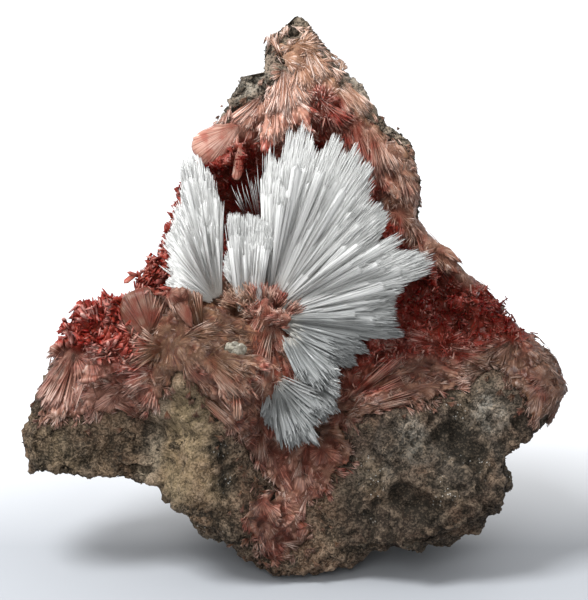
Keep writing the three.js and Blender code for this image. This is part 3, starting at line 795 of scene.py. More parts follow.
def inesite_material(settings):
    """Silky fibres that are pink, tan, red or deep red, streaked along their spray, their tips made paler as
    a painted sheen.
    """
    material, tree, shader = new_material("inesite")
    red, tan, pale, dim = painted(tree, *INESITE_FIELDS)
    tint, along, turn, away = painted(tree, "tint", "along", "turn", "away")
    patch = clouds(tree, object_place(tree), 420.0, 2.0)
    red = worked(tree, "ADD", red, ranged(tree, patch, 0.35, 0.65, -0.16, 0.16))
    pale = worked(tree, "ADD", pale, ranged(tree, patch, 0.4, 0.6, 0.25, -0.25))
    place = put(tree, "ShaderNodeCombineXYZ", {"X": turn, "Y": away}).outputs[0]
    streak = clouds(tree, place, 4.0, 2.0)
    tint = worked(tree, "ADD", tint, ranged(tree, streak, 0.3, 0.7, -0.45, 0.45))
    # Painted sheen: the outer ends of the fibres that aren't red are made paler, towards the tip colour.
    silky = product(tree, worked(tree, "POWER", along, 3.0), ranged(tree, red, 0.9, 0.3, 0.0, 0.3))
    whitened = product(tree, pale, ranged(tree, tint, 0.45, 0.85, 0.0, 1.0))
    darkened = ranged(tree, tint, 0.5, 0.05, 0.0, 0.9)
    darkened = product(tree, darkened, ranged(tree, pale, 0.4, 1.0, 1.0, 0.45))
    colour = blend(tree, tan, settings.pink, settings.tan)
    for share, layer in (
        (ranged(tree, red, 0.25, 0.7), settings.red),
        (ranged(tree, red, 0.7, 1.0), settings.deep),
        (silky, settings.tip),
        (whitened, settings.tip),
        (darkened, settings.shade),
    ):
        colour = blend(tree, share, colour, layer)
    kept = blend(tree, dim, (1, 1, 1), settings.umber)
    give(tree, shader, {
        "Base Color": blend(tree, 1.0, colour, kept, "MULTIPLY"),
        "Roughness": ranged(tree, red, 0.3, 0.9, 0.42, 0.3),
        "IOR": 1.62,
        "Specular IOR Level": ranged(tree, red, 0.3, 0.9, 0.3, 0.1),
        "Normal": bump(tree, streak, 0.8, 0.4),
    })
    return material


def natrolite_material(settings):
    """White needles, streaked lengthwise, a little see-through, darker where they are clearer, and greyer
    where their tint carries the painted shade of blades that point right or down.
    """
    material, tree, shader = new_material("natrolite")
    tint, along, line = painted(tree, "tint", "along", "line")
    place = {"X": product(tree, line, 4.5), "Y": product(tree, along, 2.5)}
    place = put(tree, "ShaderNodeCombineXYZ", place).outputs[0]
    streak = clouds(tree, place, 1.0, 2.0, dimensions="2D")
    tint = worked(tree, "ADD", tint, ranged(tree, streak, 0.3, 0.7, 0.16, -0.1))
    # A high tint is partly clear needles and partly painted shade.
    colour = blend(tree, tint, settings.white, settings.silver_and_shade)
    give(tree, shader, {
        "Base Color": blend(tree, ranged(tree, along, 0.2, 0.0, 0.0, 0.4), colour, settings.root),
        "Roughness": ranged(tree, tint, 0.0, 1.0, 0.4, 0.3),
        "IOR": 1.48,
        "Transmission Weight": 0.1,
        "Normal": bump(tree, streak, 0.35, 0.1),
    })
    return material


def chip_material(settings):
    """Pale waxy crystal with soft grains."""
    material, tree, shader = new_material("pale_crystal")
    grains = {
        "Color": settings.chip,
        "Dark": (0.1, 0.09, 0.07),
        "Light": (0.42, 0.39, 0.31),
        "Grain mm": 0.7,
        "Contrast": 0.5,
    }
    speckle = put(tree, "ShaderNodeGroup", grains, node_tree=speckle_group()).outputs
    give(tree, shader, {
        "Base Color": speckle["Color"],
        "Roughness": ranged(tree, speckle["Height"], 0.8, 1.2, 0.55, 0.3),
        "Normal": bump(tree, speckle["Height"], 0.4, 0.2),
    })
    return material


def finish(piece, material, slot, *nodes):
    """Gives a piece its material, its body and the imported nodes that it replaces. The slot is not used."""
    piece.data.materials.clear()
    piece.data.materials.append(material)
    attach(piece, "root")
    if nodes:
        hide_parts(*nodes)


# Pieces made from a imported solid
def only(piece):
    """Makes a piece the only one selected."""
    bpy.ops.object.select_all(action="DESELECT")
    piece.select_set(True)
    bpy.context.view_layer.objects.active = piece


def primitive(kind, name, **given):
    """Adds one of Blender's primitives under a name of its own."""
    bpy.ops.object.select_all(action="DESELECT")
    getattr(bpy.ops.mesh, f"primitive_{kind}_add")(**given)
    piece = bpy.context.view_layer.objects.active
    piece.name = piece.data.name = name
    return piece


def merged_copy(node, name):
    """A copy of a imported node's mesh with its corners merged."""
    piece = bpy.data.objects.new(name, frame["nodes"][node].data.copy())
    bpy.context.scene.collection.objects.link(piece)
    only(piece)
    bpy.ops.object.mode_set(mode="EDIT")
    bpy.ops.mesh.select_all(action="SELECT")
    bpy.ops.mesh.remove_doubles(threshold=0.01 * MM)
    bpy.ops.object.mode_set(mode="OBJECT")
    return piece


def with_modifier(piece, kind, **settings):
    """Adds a modifier to a piece and applies it."""
    only(piece)
    modifier = piece.modifiers.new(kind.title(), kind)
    for key, value in settings.items():
        setattr(modifier, key, value)
    bpy.ops.object.modifier_apply(modifier=modifier.name)


def remeshed(piece, voxel, rounds):
    """Remeshes and smooths a piece, and leaves out the loose grit that remeshing makes of thin edges."""
    with_modifier(piece, "REMESH", mode="VOXEL", voxel_size=voxel)
    others = set(bpy.data.objects)
    bpy.ops.mesh.separate(type="LOOSE")
    loose = [each for each in bpy.data.objects if each not in others]
    piece.data = max([piece, *loose], key=lambda part: len(part.data.vertices)).data
    for part in loose:
        bpy.data.objects.remove(part)
    with_modifier(piece, "SMOOTH", factor=0.5, iterations=rounds)


def roughened(piece, texture_kind, size, height):
    """Pushes a piece's surface in and out by a cloud or cell pattern, both in metres."""
    texture = bpy.data.textures.new(piece.name + texture_kind.lower(), texture_kind)
    texture.noise_scale = size
    if texture_kind == "VORONOI":
        texture.weight_1, texture.weight_2 = -1.0, 1.0
    with_modifier(
        piece, "DISPLACE", texture=texture, strength=height, mid_level=0.5, texture_coords="LOCAL"
    )


HOLLOW_ROUNDS = 4  # how many points away the neighbours reach that a hollow is measured from


def hollowness(piece):
    """How far each point lies below its neighbours, in millimetres."""
    mesh = piece.data
    spots = points_of(piece)
    edges = np.empty(len(mesh.edges) * 2, np.int32)
    mesh.edges.foreach_get("vertices", edges)
    edges = edges.reshape(-1, 2)
    normals = np.empty(len(mesh.vertices) * 3, np.float32)
    mesh.vertex_normals.foreach_get("vector", normals)
    around = np.bincount(edges.reshape(-1), minlength=len(spots))
    mean = spots
    for _ in range(HOLLOW_ROUNDS):
        total = np.zeros_like(spots)
        np.add.at(total, edges[:, 0], mean[edges[:, 1]])
        np.add.at(total, edges[:, 1], mean[edges[:, 0]])
        mean = total / around[:, None]
    return ((mean - spots) * normals.reshape(-1, 3)).sum(1)


SETTLING_CRUST = 2.5  # millimetres from the crust where the rock is fully rough
SETTLING_TOP = 7.0  # millimetres below the top where it is
VUG_DARK = (0.93, 0.98)  # how dark the rock is where a vug starts, and where it is deepest
VUG_DEPTH = 2.0  # millimetres


def settled(piece):
    """Draws the rock back to its solid by the crust and at the top, and sinks its dark vugs."""
    spots = points_of(piece)
    nearest = [ROCK_SKIN.tree.find_nearest(Vector(spot)) for spot in spots]
    level, normal = (np.array([found[part] for found in nearest]) for part in (0, 1))
    below_top = CAD_BOX[1][2] / MM - level[:, 2]
    rough = np.clip(CRUST_SKIN.distance(level) / SETTLING_CRUST, 0.3, 1)
    rough *= np.clip(below_top / SETTLING_TOP, 0.1, 1)
    dark, _, light, _ = rock_values(level).T
    rough *= 1 - 0.6 * light
    spots = level + (spots - level) * rough[:, None]
    start, end = VUG_DARK
    vug = np.clip((dark - start) / (end - start), 0, 1) * np.clip(normal @ VIEWER, 0, 1)
    spots -= VIEWER * (VUG_DEPTH * vug)[:, None]
    spots += way_inside(spots)
    place_points(piece, spots)
    piece.data.update()


def held_inside(piece):
    """Keeps a piece's points between the surface that it rests on and the specimen's top."""
    spots = points_of(piece)
    spots[:, 2] = np.clip(spots[:, 2], 0, CAD_BOX[1][2] / MM)
    place_points(piece, spots)
    piece.data.update()


# Settings
def length(name, description, millimetres):
    """A size that a user may change."""
    return FloatProperty(
        name=name, description=description, default=millimetres * MM, unit="LENGTH", precision=5
    )


def colour(name, description, *rgb):
    """A colour that a user may change."""
    return FloatVectorProperty(
        name=name, description=description, default=rgb, subtype="COLOR", size=3, min=0, max=1
    )


def amount(name, description, default, least=0):
    """A number of things that a user may change."""
    return IntProperty(name=name, description=description, default=default, min=least)


def strength(name, description, default, least=0):
    """A number without a unit that a user may change."""
    return FloatProperty(name=name, description=description, default=default, min=least)


def angle(name, description, degrees):
    """An angle that a user may change."""
    return FloatProperty(name=name, description=description, default=math.radians(degrees), subtype="ANGLE")


class RockSettings(bpy.types.PropertyGroup):
    voxel: length("Voxel", "Size of the faces of the rock's surface", 0.56)
    crag_size: length("Crag size", "Width of the large breaks of the rock", 6.5)
    crag_height: length("Crag height", "Height of the large breaks of the rock", 3.4)
    lump_size: length("Lump size", "Width of the lumps on the rock", 2.7)
    lump_height: length("Lump height", "Height of the lumps on the rock", 2.1)
    pit_size: length("Pit size", "Width of the smallest pits", 1.3)
    pit_height: length("Pit height", "Depth of the smallest pits", 1.7)
    grain_size: length("Grain size", "Size of the speckles in the rock's colour", 0.36)
    crumbs: amount("Crumbs", "Small crumbs that lie on the rock", 11500)
    brown: colour("Brown", "Main colour of the rock", 0.085, 0.056, 0.034)
    dark: colour("Dark", "Colour of the dark right side", 0.012, 0.01, 0.008)
    grey: colour("Grey", "Colour of the grey-green rim", 0.5, 0.48, 0.42)
    light: colour("Light", "Colour of the light column", 0.36, 0.27, 0.15)
    pink: colour("Pink", "Colour of the rock near the crystals", 0.13, 0.07, 0.05)
    rust: colour("Rust", "Colour of the rusty blotches", 0.11, 0.056, 0.03)
    olive: colour("Olive", "Colour of the greenish places", 0.15, 0.135, 0.075)
    # Also the colour of the painted shade in the rock's hollows, vugs and recesses.
    pit_and_shade: colour("Pit", "Colour between the grains", 0.018, 0.015, 0.011)
    # Also the colour of the painted light on the rock's raised places.
    grain_and_painted_light: colour("Grain", "Colour of the light grains", 0.36, 0.27, 0.19)
    # The flecks are painted glints.
    painted_glint: colour("Fleck", "Colour of the sparse white flecks", 0.72, 0.70, 0.66)


class InesiteSettings(bpy.types.PropertyGroup):
    voxel: length("Voxel", "Size of the faces of the crust's surface", 0.55)
    small_fans: amount("Small fans", "Small fans of streaks between the named sprays", 420)
    density: strength("Density", "Fibres for each one that a spray asks for", 2.9)
    crystal_width: length("Crystal width", "Width of a glassy crystal in the hollow", 0.34)
    crystal_length: length("Crystal length", "Length of a glassy crystal in the hollow", 2.2)
    fans: amount("Fans", "Small fans of blades between the named sprays", 1750)
    fan_blades: amount("Fan blades", "Blades in each of those fans", 36, 3)
    fan_length: length("Fan length", "Length of a blade in those fans", 4.8)
    fan_width: length("Fan width", "Width of a blade in those fans", 0.155)
    fan_lean: angle("Fan lean", "How far those blades rise", 3.0)
    fill_crystals: amount("Crystals", "Glassy crystals in the hollows", 9500)
    pink: colour("Pink", "Colour of the silky pink fibres", 0.58, 0.27, 0.20)
    tan: colour("Tan", "Colour of the tan fibres", 0.40, 0.22, 0.115)
    red: colour("Red", "Colour of the red fibres", 0.40, 0.045, 0.026)
    deep: colour("Deep", "Colour of the deep red crystals", 0.18, 0.006, 0.004)
    # The tip colour is also the painted sheen at the fibres' tips.
    tip: colour("Tip", "Colour of pale fibres and tips", 0.9, 0.72, 0.64)
    shade: colour("Shade", "Colour of the darkest fibres", 0.12, 0.03, 0.018)
    umber: colour("Umber", "What the dim fibres keep of their colour", 0.27, 0.24, 0.22)


class NatroliteSettings(bpy.types.PropertyGroup):
    needle_width: length("Needle width", "Width of a needle near its tip", 0.15)
    needles: amount("Needles", "Needles in the main spray", 23800, 100)
    blades: amount("Blades", "Blades in the main spray", 1500, 10)
    blade_spread: angle("Blade spread", "Angle that the widest blade takes up", 4.4)
    white: colour("White", "Colour of the needles", 0.86, 0.865, 0.85)
    # This colour also carries the painted shade of the blades that point right or down.
    silver_and_shade: colour("Silver", "Colour of the clearer needles", 0.24, 0.25, 0.25)
    root: colour("Root", "Colour of the needles at their root", 0.86, 0.82, 0.72)
    chip: colour("Chip", "Colour of the pale crystal in the lump", 0.23, 0.21, 0.17)


class StageSettings(bpy.types.PropertyGroup):
    key_power: strength("Key", "Power of the key light, in watts", 2.7)
    fill_power: strength("Fill", "Power of the fill light, in watts", 1.9)
    sky: strength("Sky", "Brightness of the white surroundings", 0.72)
    floor: colour("Floor", "Colour of the floor", 0.39, 0.41, 0.44)


# Operators
CRUMB_TRIES = 1.6  # crumbs tried for each one asked for, because some fall under the crust


class SPECIMEN_OT_rock(bpy.types.Operator):
    """Builds the rock and the crumbs on it"""

    bl_idname = "specimen.rock"
    bl_label = "Rock"

    def execute(self, context):
        settings = context.scene.specimen_rock
        material = rock_material(settings)
        rock = merged_copy("host_rock", "rock_body")
        remeshed(rock, settings.voxel, 6)
        roughened(rock, "VORONOI", settings.crag_size, settings.crag_height)
        roughened(rock, "CLOUDS", settings.lump_size, settings.lump_height)
        roughened(rock, "CLOUDS", settings.pit_size, settings.pit_height)
        settled(rock)
        held_inside(rock)
        self.paint_zones(rock, points_of(rock))
        # The material reads this to paint the rock darker in its hollows and lighter on its raised places:
        # painted shade and painted light.
        paint(rock, "hollow", hollowness(rock))
        rock.data.shade_smooth()
        finish(rock, material, "host_rock", "host_rock")
        self.add_crumbs(rock, settings, material)
        return {"FINISHED"}

    def paint_zones(self, piece, spots):
        """Paints what the zones say, and a pink rim along the crust."""
        dark, grey, light, pink = rock_values(spots).T
        pink = np.maximum(pink, 0.9 * np.exp(-CRUST_SKIN.distance(spots) / 2.2))
        for field, values in zip(ROCK_FIELDS, (dark, grey, light, pink)):
            paint(piece, field, values)

    def add_crumbs(self, rock, settings, material):
        """Small crumbs, sunk in the rock at every turn wherever the crust leaves it bare."""
        rng = np.random.default_rng(11)
        mesh = rock.data
        centres, normals = (np.empty(len(mesh.polygons) * 3, np.float32) for _ in range(2))
        mesh.polygons.foreach_get("center", centres)
        mesh.polygons.foreach_get("normal", normals)
        chosen = rng.choice(len(mesh.polygons), int(settings.crumbs * CRUMB_TRIES * QUICK_SHARE))
        spots, normals = centres.reshape(-1, 3)[chosen] / MM, normals.reshape(-1, 3)[chosen]
        bare = (CRUST_SKIN.distance(spots) > 0.6) & (spots[:, 2] > 0.7)
        spots, normals = spots[bare], normals[bare]
        count = len(spots)
        flat = square_to(rng.normal(size=(count, 3)), normals)
        way = unit(flat + normals * rng.uniform(-0.3, 0.3, (count, 1)))
        long = rng.uniform(0.35, 0.9, count)
        width = rng.uniform(0.2, 0.5, count)
        crumbs = Crystals(SPIKE)
        crumbs.add(
            root=spots + rng.normal(0, 0.06, (count, 3)) - normals * 0.15 - way * (0.5 * long)[:, None],
            way=way,
            flat=normals,
            long=long,
            wide=width,
            thick=width,
            tip=rng.uniform(0.2, 0.6, count),
            tint=rng.normal(-0.03, 0.1, count),
        )
        piece = crumbs.build("rock_crumbs")
        held_inside(piece)
        self.paint_zones(piece, points_of(piece))
        hollow = np.empty(len(piece.data.vertices), np.float32)
        piece.data.attributes["tint"].data.foreach_get("value", hollow)
        paint(piece, "hollow", hollow)
        finish(piece, material, "host_rock")


OPEN_SPACE = 9.0  # millimetres that are free in front of an open place
TO_VIEWER = 0.15  # how much the small fans turn from the surface towards the viewer
APEX_RUN = ((282, 50), (312, 80)), 40  # the tip of the specimen: a run between pixels, and its reach
LOWER_RUN = ((250, 450), (310, 560)), 62  # the inesite that runs down to the foot, in the same terms
INESITE_LEFT = -18  # millimetres across, where the large crystals of the left side begin


def is_open(spot, normal):
    """Whether nothing of the rock lies close in front of a place."""
    start = Vector(spot + normal * 0.05)
    for way in (normal, unit(normal + VIEWER)):
        if ROCK_SKIN.tree.ray_cast(start, Vector(way), OPEN_SPACE)[0] is not None:
            return False
    return True


def open_places(rng, count, skin=CRUST_SKIN):
    """Places on the open face of a surface, and not on its underside, and the normals there."""
    spots, normals = skin.scattered(rng, count)
    facing = normals @ VIEWER > -0.12
    spots, normals = spots[facing], normals[facing]
    clear = np.array([is_open(spot, normal) for spot, normal in zip(spots, normals)])
    return spots[clear], normals[clear]


def in_run(spots, run, reach):
    """How far each place is in a run: 1 inside its reach, which is in pixels, and 0 well outside."""
    return np.exp(-(run_distance(to_face(spots), *run) / reach) ** 4)


def headed(level, side, out, turn, rise):
    """Ways that turn from level to side and rise towards out, by angles in radians."""
    return (
        level * (np.cos(turn) * np.cos(rise))[..., None]
        + side * (np.sin(turn) * np.cos(rise))[..., None]
        + out * np.sin(rise)[..., None]
    )


def shades_at(spots):
    """What the inesite's material reads at each place, by field."""
    return dict(zip(INESITE_FIELDS, inesite_values(spots).T))


class Sprays:
    """The named sprays of inesite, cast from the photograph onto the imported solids."""

    def __init__(self):
        self.rows = []
        for piece, name in enumerate(INESITE_PIECES):
            for _, root, tip, spread, count, lean, wide in INESITE_SPRAYS[name]:
                spot, normal = FRONT_SKIN.seen(root)
                start, end = pixel_to_face(root), pixel_to_face(tip)
                aim = unit(to_world((*(end - start), 0)))
                out = unit(normal + 0.3 * VIEWER)
                level = square_to(aim, out)
                if level @ aim < 0.35:
                    level = aim
                long = np.linalg.norm(end - start) / max(level @ aim, 0.75)
                self.rows.append(dict(
                    piece=piece, spot=spot, level=level, out=out, long=long, spread=math.radians(spread),
                    count=count, lean=math.radians(lean), wide=wide,
                ))
        self.spot, self.level, self.out, self.long = (
            np.array([row[key] for row in self.rows]) for key in ("spot", "level", "out", "long")
        )

    def add_small(self, rng, spots, normals):
        """Small fans between the named ones, for what lies on the crust to follow."""
        named = self.nearest(spots)
        out = unit(unit(normals) + TO_VIEWER * VIEWER)
        flow = self.level[named] + unit(spots - self.spot[named]) + rng.normal(0, 0.9, spots.shape)
        self.spot = np.concatenate([self.spot, spots])
        self.level = np.concatenate([self.level, square_to(flow, out)])
        self.out = np.concatenate([self.out, out])
        self.long = np.concatenate([self.long, rng.uniform(2.5, 5.5, len(spots))])

    def nearest(self, spots):
        """Index of the spray that each place lies on or closest to."""
        found = []
        for some in np.array_split(spots, len(spots) // 3000 + 1):
            offset = some[:, None] - self.spot
            along = np.clip((offset * self.level).sum(-1), 0, self.long)
            miss = np.linalg.norm(offset - along[..., None] * self.level, axis=-1)
            found.append((miss / (1.5 + 0.4 * self.long)).argmin(1))
        return np.concatenate(found)


FAN_TRIES = 6  # fans tried for each one asked for, because many fall off the crust or on its red places
# How far the fans differ from each other in each field, and what they gain off the crust.
FAN_SHADES = (("red", 0.05, -0.1), ("tan", 0.1, 0.3), ("pale", 0.14, -0.25), ("dim", 0.1, 0.35))


class SPECIMEN_OT_inesite(bpy.types.Operator):
    """Builds the inesite crust, its sprays and the glassy crystals in its hollows"""

    bl_idname = "specimen.inesite"
    bl_label = "Inesite"

    def execute(self, context):
        settings = context.scene.specimen_inesite
        material = inesite_material(settings)
        sprays = Sprays()
        rng = np.random.default_rng(71)
        sprays.add_small(rng, *open_places(rng, settings.small_fans))
        self.add_crust(settings, material, sprays)
        heaps = [Crystals(SPIKE) for _ in INESITE_PIECES]
        rng = np.random.default_rng(101)
        for spray in sprays.rows:
            count = int(spray["count"] * settings.density * (0.2 / spray["wide"]) ** 0.8)
            self.add_spray(rng, heaps[spray["piece"]], count, spray)
        for _, root, tip, spread, count, lean, wide in ROOT_SPRAYS:
            spot = to_world((*pixel_to_face(root), ROOT_DEPTH))
            aim = to_world((*pixel_to_face(tip), ROOT_DEPTH - 2)) - spot
            level = unit(aim)
            spray = dict(
                spot=spot, level=level, out=square_to(VIEWER, level), long=np.linalg.norm(aim),
                spread=math.radians(spread), lean=math.radians(lean), wide=wide,
            )
            self.add_spray(rng, heaps[INESITE_CENTRE], count * 2, spray, free=True)
        crystals = Crystals(PRISM)
        fans = [Crystals(SPIKE) for _ in INESITE_PIECES]
        self.add_fans(np.random.default_rng(151), fans, sprays, settings)
        self.add_crystals(np.random.default_rng(211), crystals, settings)
        for name, spray_heap, fan_heap in zip(INESITE_PIECES, heaps, fans):
            finish(spray_heap.build(name), material, "inesite")
            finish(fan_heap.build(name.replace("sprays", "fans")), material, "inesite")
        self.add_lobes(material)
        finish(crystals.build("inesite_red_crystals"), material, "inesite")
        return {"FINISHED"}

    def add_crust(self, settings, material, sprays):
        """The crust itself, streaked away from the roots of the sprays on it, darker in its hollows and
        paler where it stands out, as painted shade and painted light.
        """
        crust = merged_copy("inesite_crust", "crust_body")
        remeshed(crust, settings.voxel, 5)
        roughened(crust, "CLOUDS", 2.6 * MM, 1.6 * MM)
        roughened(crust, "CLOUDS", 0.9 * MM, 0.6 * MM)
        spots = points_of(crust)
        spots += way_inside(spots)
        place_points(crust, spots)
        crust.data.update()
        thin = np.exp(-(ROCK_SKIN.distance(spots) / 0.8) ** 2)
        values = inesite_values(spots) + thin[:, None] * (-0.15, 0.4, -0.2, 0.35)
        for field, value in zip(INESITE_FIELDS, np.clip(values, 0, 1).T):
            paint(crust, field, value)
        nearest = sprays.nearest(spots)
        offset = spots - sprays.spot[nearest]
        side = np.cross(sprays.out[nearest], sprays.level[nearest])
        turn = np.arctan2((offset * side).sum(1), (offset * sprays.level[nearest]).sum(1))
        paint(crust, "turn", turn * 4 + nearest * 13)
        paint(crust, "away", np.linalg.norm(offset, axis=1) * 0.06)
        # Painted shade and painted light: a lower tint, darker, in the crust's hollows, and a higher tint,
        # paler, where it stands out.
        paint(crust, "tint", np.clip(0.2 - 0.9 * hollowness(crust), 0, 0.6))
        paint(crust, "along", np.full(len(spots), 0.3))
        crust.data.shade_smooth()
        finish(crust, material, "inesite", "inesite_crust")

    def add_lobes(self, material):
        """Smooth rounded lobes, streaked from the root."""
        for index, (root, tip, wide, thick, *shades) in enumerate(LOBES):
            start, end = pixel_to_face(root), pixel_to_face(tip)
            spot, _ = FRONT_SKIN.seen(((root[0] + tip[0]) / 2, (root[1] + tip[1]) / 2))
            depth = to_face(spot)[2]
            foot = to_world((*start, depth))
            axis = to_world((*end, depth)) - foot
            side = unit(np.cross(axis, VIEWER))
            lobe = primitive("uv_sphere", f"inesite_lobe_{index + 1}", segments=40, ring_count=24, radius=1)
            ball = points_of(lobe) * MM
            along = (ball[:, 2] + 1) / 2
            around = ball[:, :2] / np.maximum(np.linalg.norm(ball[:, :2], axis=1), 1e-6)[:, None]
            profile = along ** 0.7 * (1 - along) ** 0.35
            profile = profile / profile.max()
            across, through = (around * (wide / 2, thick / 2) * profile[:, None]).T
            spots = foot + along[:, None] * axis + across[:, None] * side + through[:, None] * VIEWER
            place_points(lobe, spots)
            roughened(lobe, "CLOUDS", 1.6 * MM, 0.35 * MM)
            reach = np.maximum(along * np.linalg.norm(axis), 0.3)
            paint(lobe, "turn", np.arctan2(across, reach) * 9 + index * 7)
            paint(lobe, "away", reach * 0.03)
            for field, value in zip(INESITE_FIELDS, shades):
                paint(lobe, field, np.full(len(along), value))
            paint(lobe, "tint", np.full(len(along), 0.5))
            paint(lobe, "along", along * 0.6)
            lobe.data.shade_smooth()
            finish(lobe, material, "inesite")

    def add_spray(self, rng, heap, count, spray, free=False):
        """Fibres that spread from one place in flat bundles. Wide ones are blades with even ends.

        They stay close to the crust, unless the spray is free.
        """
        count = max(6, int(count * QUICK_SHARE))
        level, out, spread, lean, wide = (spray[key] for key in ("level", "out", "spread", "lean", "wide"))
        even = min(max((wide - 0.2) / 0.3, 0), 1)
        turn = spread * (rng.random(count) - 0.5)
        rise = 0.75 * lean * rng.uniform(-0.35, 1.25, count) + rng.normal(0, 0.03, count)
        way = headed(level, np.cross(out, level), out, turn, rise)
        bundle = np.floor((turn / spread + 0.5) * max(3, math.degrees(spread) / 6)).astype(int)
        bundle_tint = rng.random(bundle.max() + 1)
        bundle_long = rng.uniform(0.8 + 0.12 * even, 1.0, bundle.max() + 1)
        reach = spray["long"] * bundle_long[bundle] * rng.uniform(0.8 + 0.15 * even, 1.0, count)
        start = reach * np.where(rng.random(count) < 0.3 + 0.4 * even, 0.0, rng.uniform(0.05, 0.6, count))
        depth = -0.7 + 0.6 * rng.random(count)
        root = spray["spot"] + out * depth[:, None] + way * start[:, None] + rng.normal(0, 0.35, (count, 3))
        long = reach - start
        width = (0.8 + 0.2 * even) * wide * rng.uniform(0.6, 1.7, count)
        rows = dict(
            root=root,
            way=way,
            flat=out + rng.normal(0, 0.35 - 0.2 * even, (count, 3)),
            long=long,
            wide=width,
            thick=width * rng.uniform(0.35, 0.7, count),
            tip=rng.uniform(0.08, 0.35, count) * (1 - 0.6 * even),
            tint=np.clip(0.35 * bundle_tint[bundle] + 0.65 * rng.random(count), 0, 1),
            **shades_at(root + way * long[:, None] * 0.5),
        )
        limit = 0.4 + 0.5 * long * np.sin(lean)
        near = (CRUST_SKIN.distance(root + way * long[:, None]) < limit) | free
        heap.add(**{key: value[near] for key, value in rows.items()})

    def add_fans(self, rng, heaps, sprays, settings):
        """Small flat fans of blades that overlap each other between the named sprays."""
        spots, normals = open_places(rng, int(settings.fans * FAN_TRIES * QUICK_SHARE), FRONT_SKIN)
        apex, low = in_run(spots, *APEX_RUN), in_run(spots, *LOWER_RUN)
        beyond = CRUST_SKIN.distance(spots)
        close = beyond < np.where(apex > 0.5, 3.6, (3.5 + 7 * low) * rng.random(len(spots)) ** 3 + 0.05)
        close &= spots[:, 2] > 4
        spots, normals, beyond = spots[close], normals[close], (beyond * (1 - apex))[close]
        red = shades_at(spots)["red"]
        keep = red < 0.6 + 0.2 * rng.random(len(red))
        spots, normals, beyond = spots[keep], normals[keep], beyond[keep]
        fans, each = len(spots), settings.fan_blades
        nearest = sprays.nearest(spots)
        out = unit(unit(normals) + TO_VIEWER * VIEWER)
        level = square_to(sprays.level[nearest] + unit(spots - sprays.spot[nearest]), out)
        facing = np.clip(unit(normals) @ VIEWER, 0, 1)[:, None]
        spread = np.radians(rng.uniform(20, 90, (fans, 1)))
        turn = rng.normal(0, 0.45, (fans, 1)) + spread * (rng.random((fans, each)) - 0.5)
        rise = settings.fan_lean * rng.uniform(0, 2, (fans, 1)) * facing
        rise = rise + rng.normal(0, 0.04, (fans, each))
        way = headed(level[:, None], np.cross(out, level)[:, None], out[:, None], turn, rise)
        reach = settings.fan_length / MM * rng.uniform(0.5, 1.4, (fans, 1))
        reach = reach * rng.uniform(0.6, 1.0, (fans, each)) * np.clip(1 - beyond, 0.4, 1)[:, None]
        begin = reach * rng.uniform(0, 0.4, (fans, each))
        depth = rng.uniform(0.0, 0.45, (fans, each))
        root = spots[:, None] - out[:, None] * depth[..., None] + way * (begin - 0.3 * reach)[..., None]
        long = (reach - begin).reshape(-1)
        root, way = root.reshape(-1, 3), way.reshape(-1, 3)
        width = settings.fan_width / MM * rng.uniform(0.5, 1.5, fans * each)
        out = np.repeat(out, each, 0)
        shades = shades_at(root + way * long[:, None] * 0.5)
        for field, sway, outer in FAN_SHADES:
            own = np.repeat(rng.normal(0, sway, fans) + outer * beyond, each)
            shades[field] = np.clip(shades[field] + own, 0, 1)
        rows = dict(
            root=root,
            way=way,
            flat=out + rng.normal(0, 0.35, (fans * each, 3)),
            long=long,
            wide=width,
            thick=width * rng.uniform(0.35, 0.75, fans * each),
            tip=rng.uniform(0.08, 0.4, fans * each),
            tint=rng.random(fans * each),
            **shades,
        )
        tips = root + way * long[:, None]
        near = FRONT_SKIN.distance(tips) < 0.4 + 0.45 * long * np.abs((way * out).sum(1))
        limit = 0.6 + np.repeat(1.3 * rng.random(fans) + 1.5 * beyond, each) + 4 * in_run(tips, *APEX_RUN)
        near &= CRUST_SKIN.distance(tips) < limit
        piece = piece_of(to_face(root))
        for index, heap in enumerate(heaps):
            chosen = (piece == index) & near
            heap.add(**{key: value[chosen] for key, value in rows.items()})

    def add_crystals(self, rng, crystals, settings):
        """Glassy crystals wherever the crust is red."""
        spots, normals = open_places(rng, int(settings.fill_crystals * 4 * QUICK_SHARE))
        shades = shades_at(spots)
        glassy = np.flatnonzero(shades["red"] > 0.5 + 0.25 * rng.random(len(spots)))
        glassy = glassy[:int(settings.fill_crystals * QUICK_SHARE)]
        spots, normals = spots[glassy], normals[glassy]
        count = len(glassy)
        left = to_face(spots)[:, 0] < INESITE_LEFT
        size = np.where(left, 1.2, 0.8) * rng.uniform(0.5, 1.2, count)
        size *= np.clip(0.5 + normals @ VIEWER, 0.5, 1)
        way = unit(unit(normals) + rng.normal(0, 1, (count, 3)) * np.where(left, 0.3, 0.6)[:, None])
        crystals.add(
            root=spots - way * 0.8,
            way=way,
            flat=rng.normal(size=(count, 3)),
            long=settings.crystal_length / MM * size,
            wide=settings.crystal_width / MM * size * rng.uniform(0.7, 1.3, count) * np.where(left, 1.9, 1),
            thick=0.55 * settings.crystal_width / MM * size,
            foot=1.0,
            tip=rng.uniform(0.06, 0.3, count) + np.where(left, 0.1, 0),
            tint=np.where(left, 0.2, 0) + np.where(left, 0.5, 1) * rng.random(count),
            **{field: values[glassy] for field, values in shades.items()},
        )


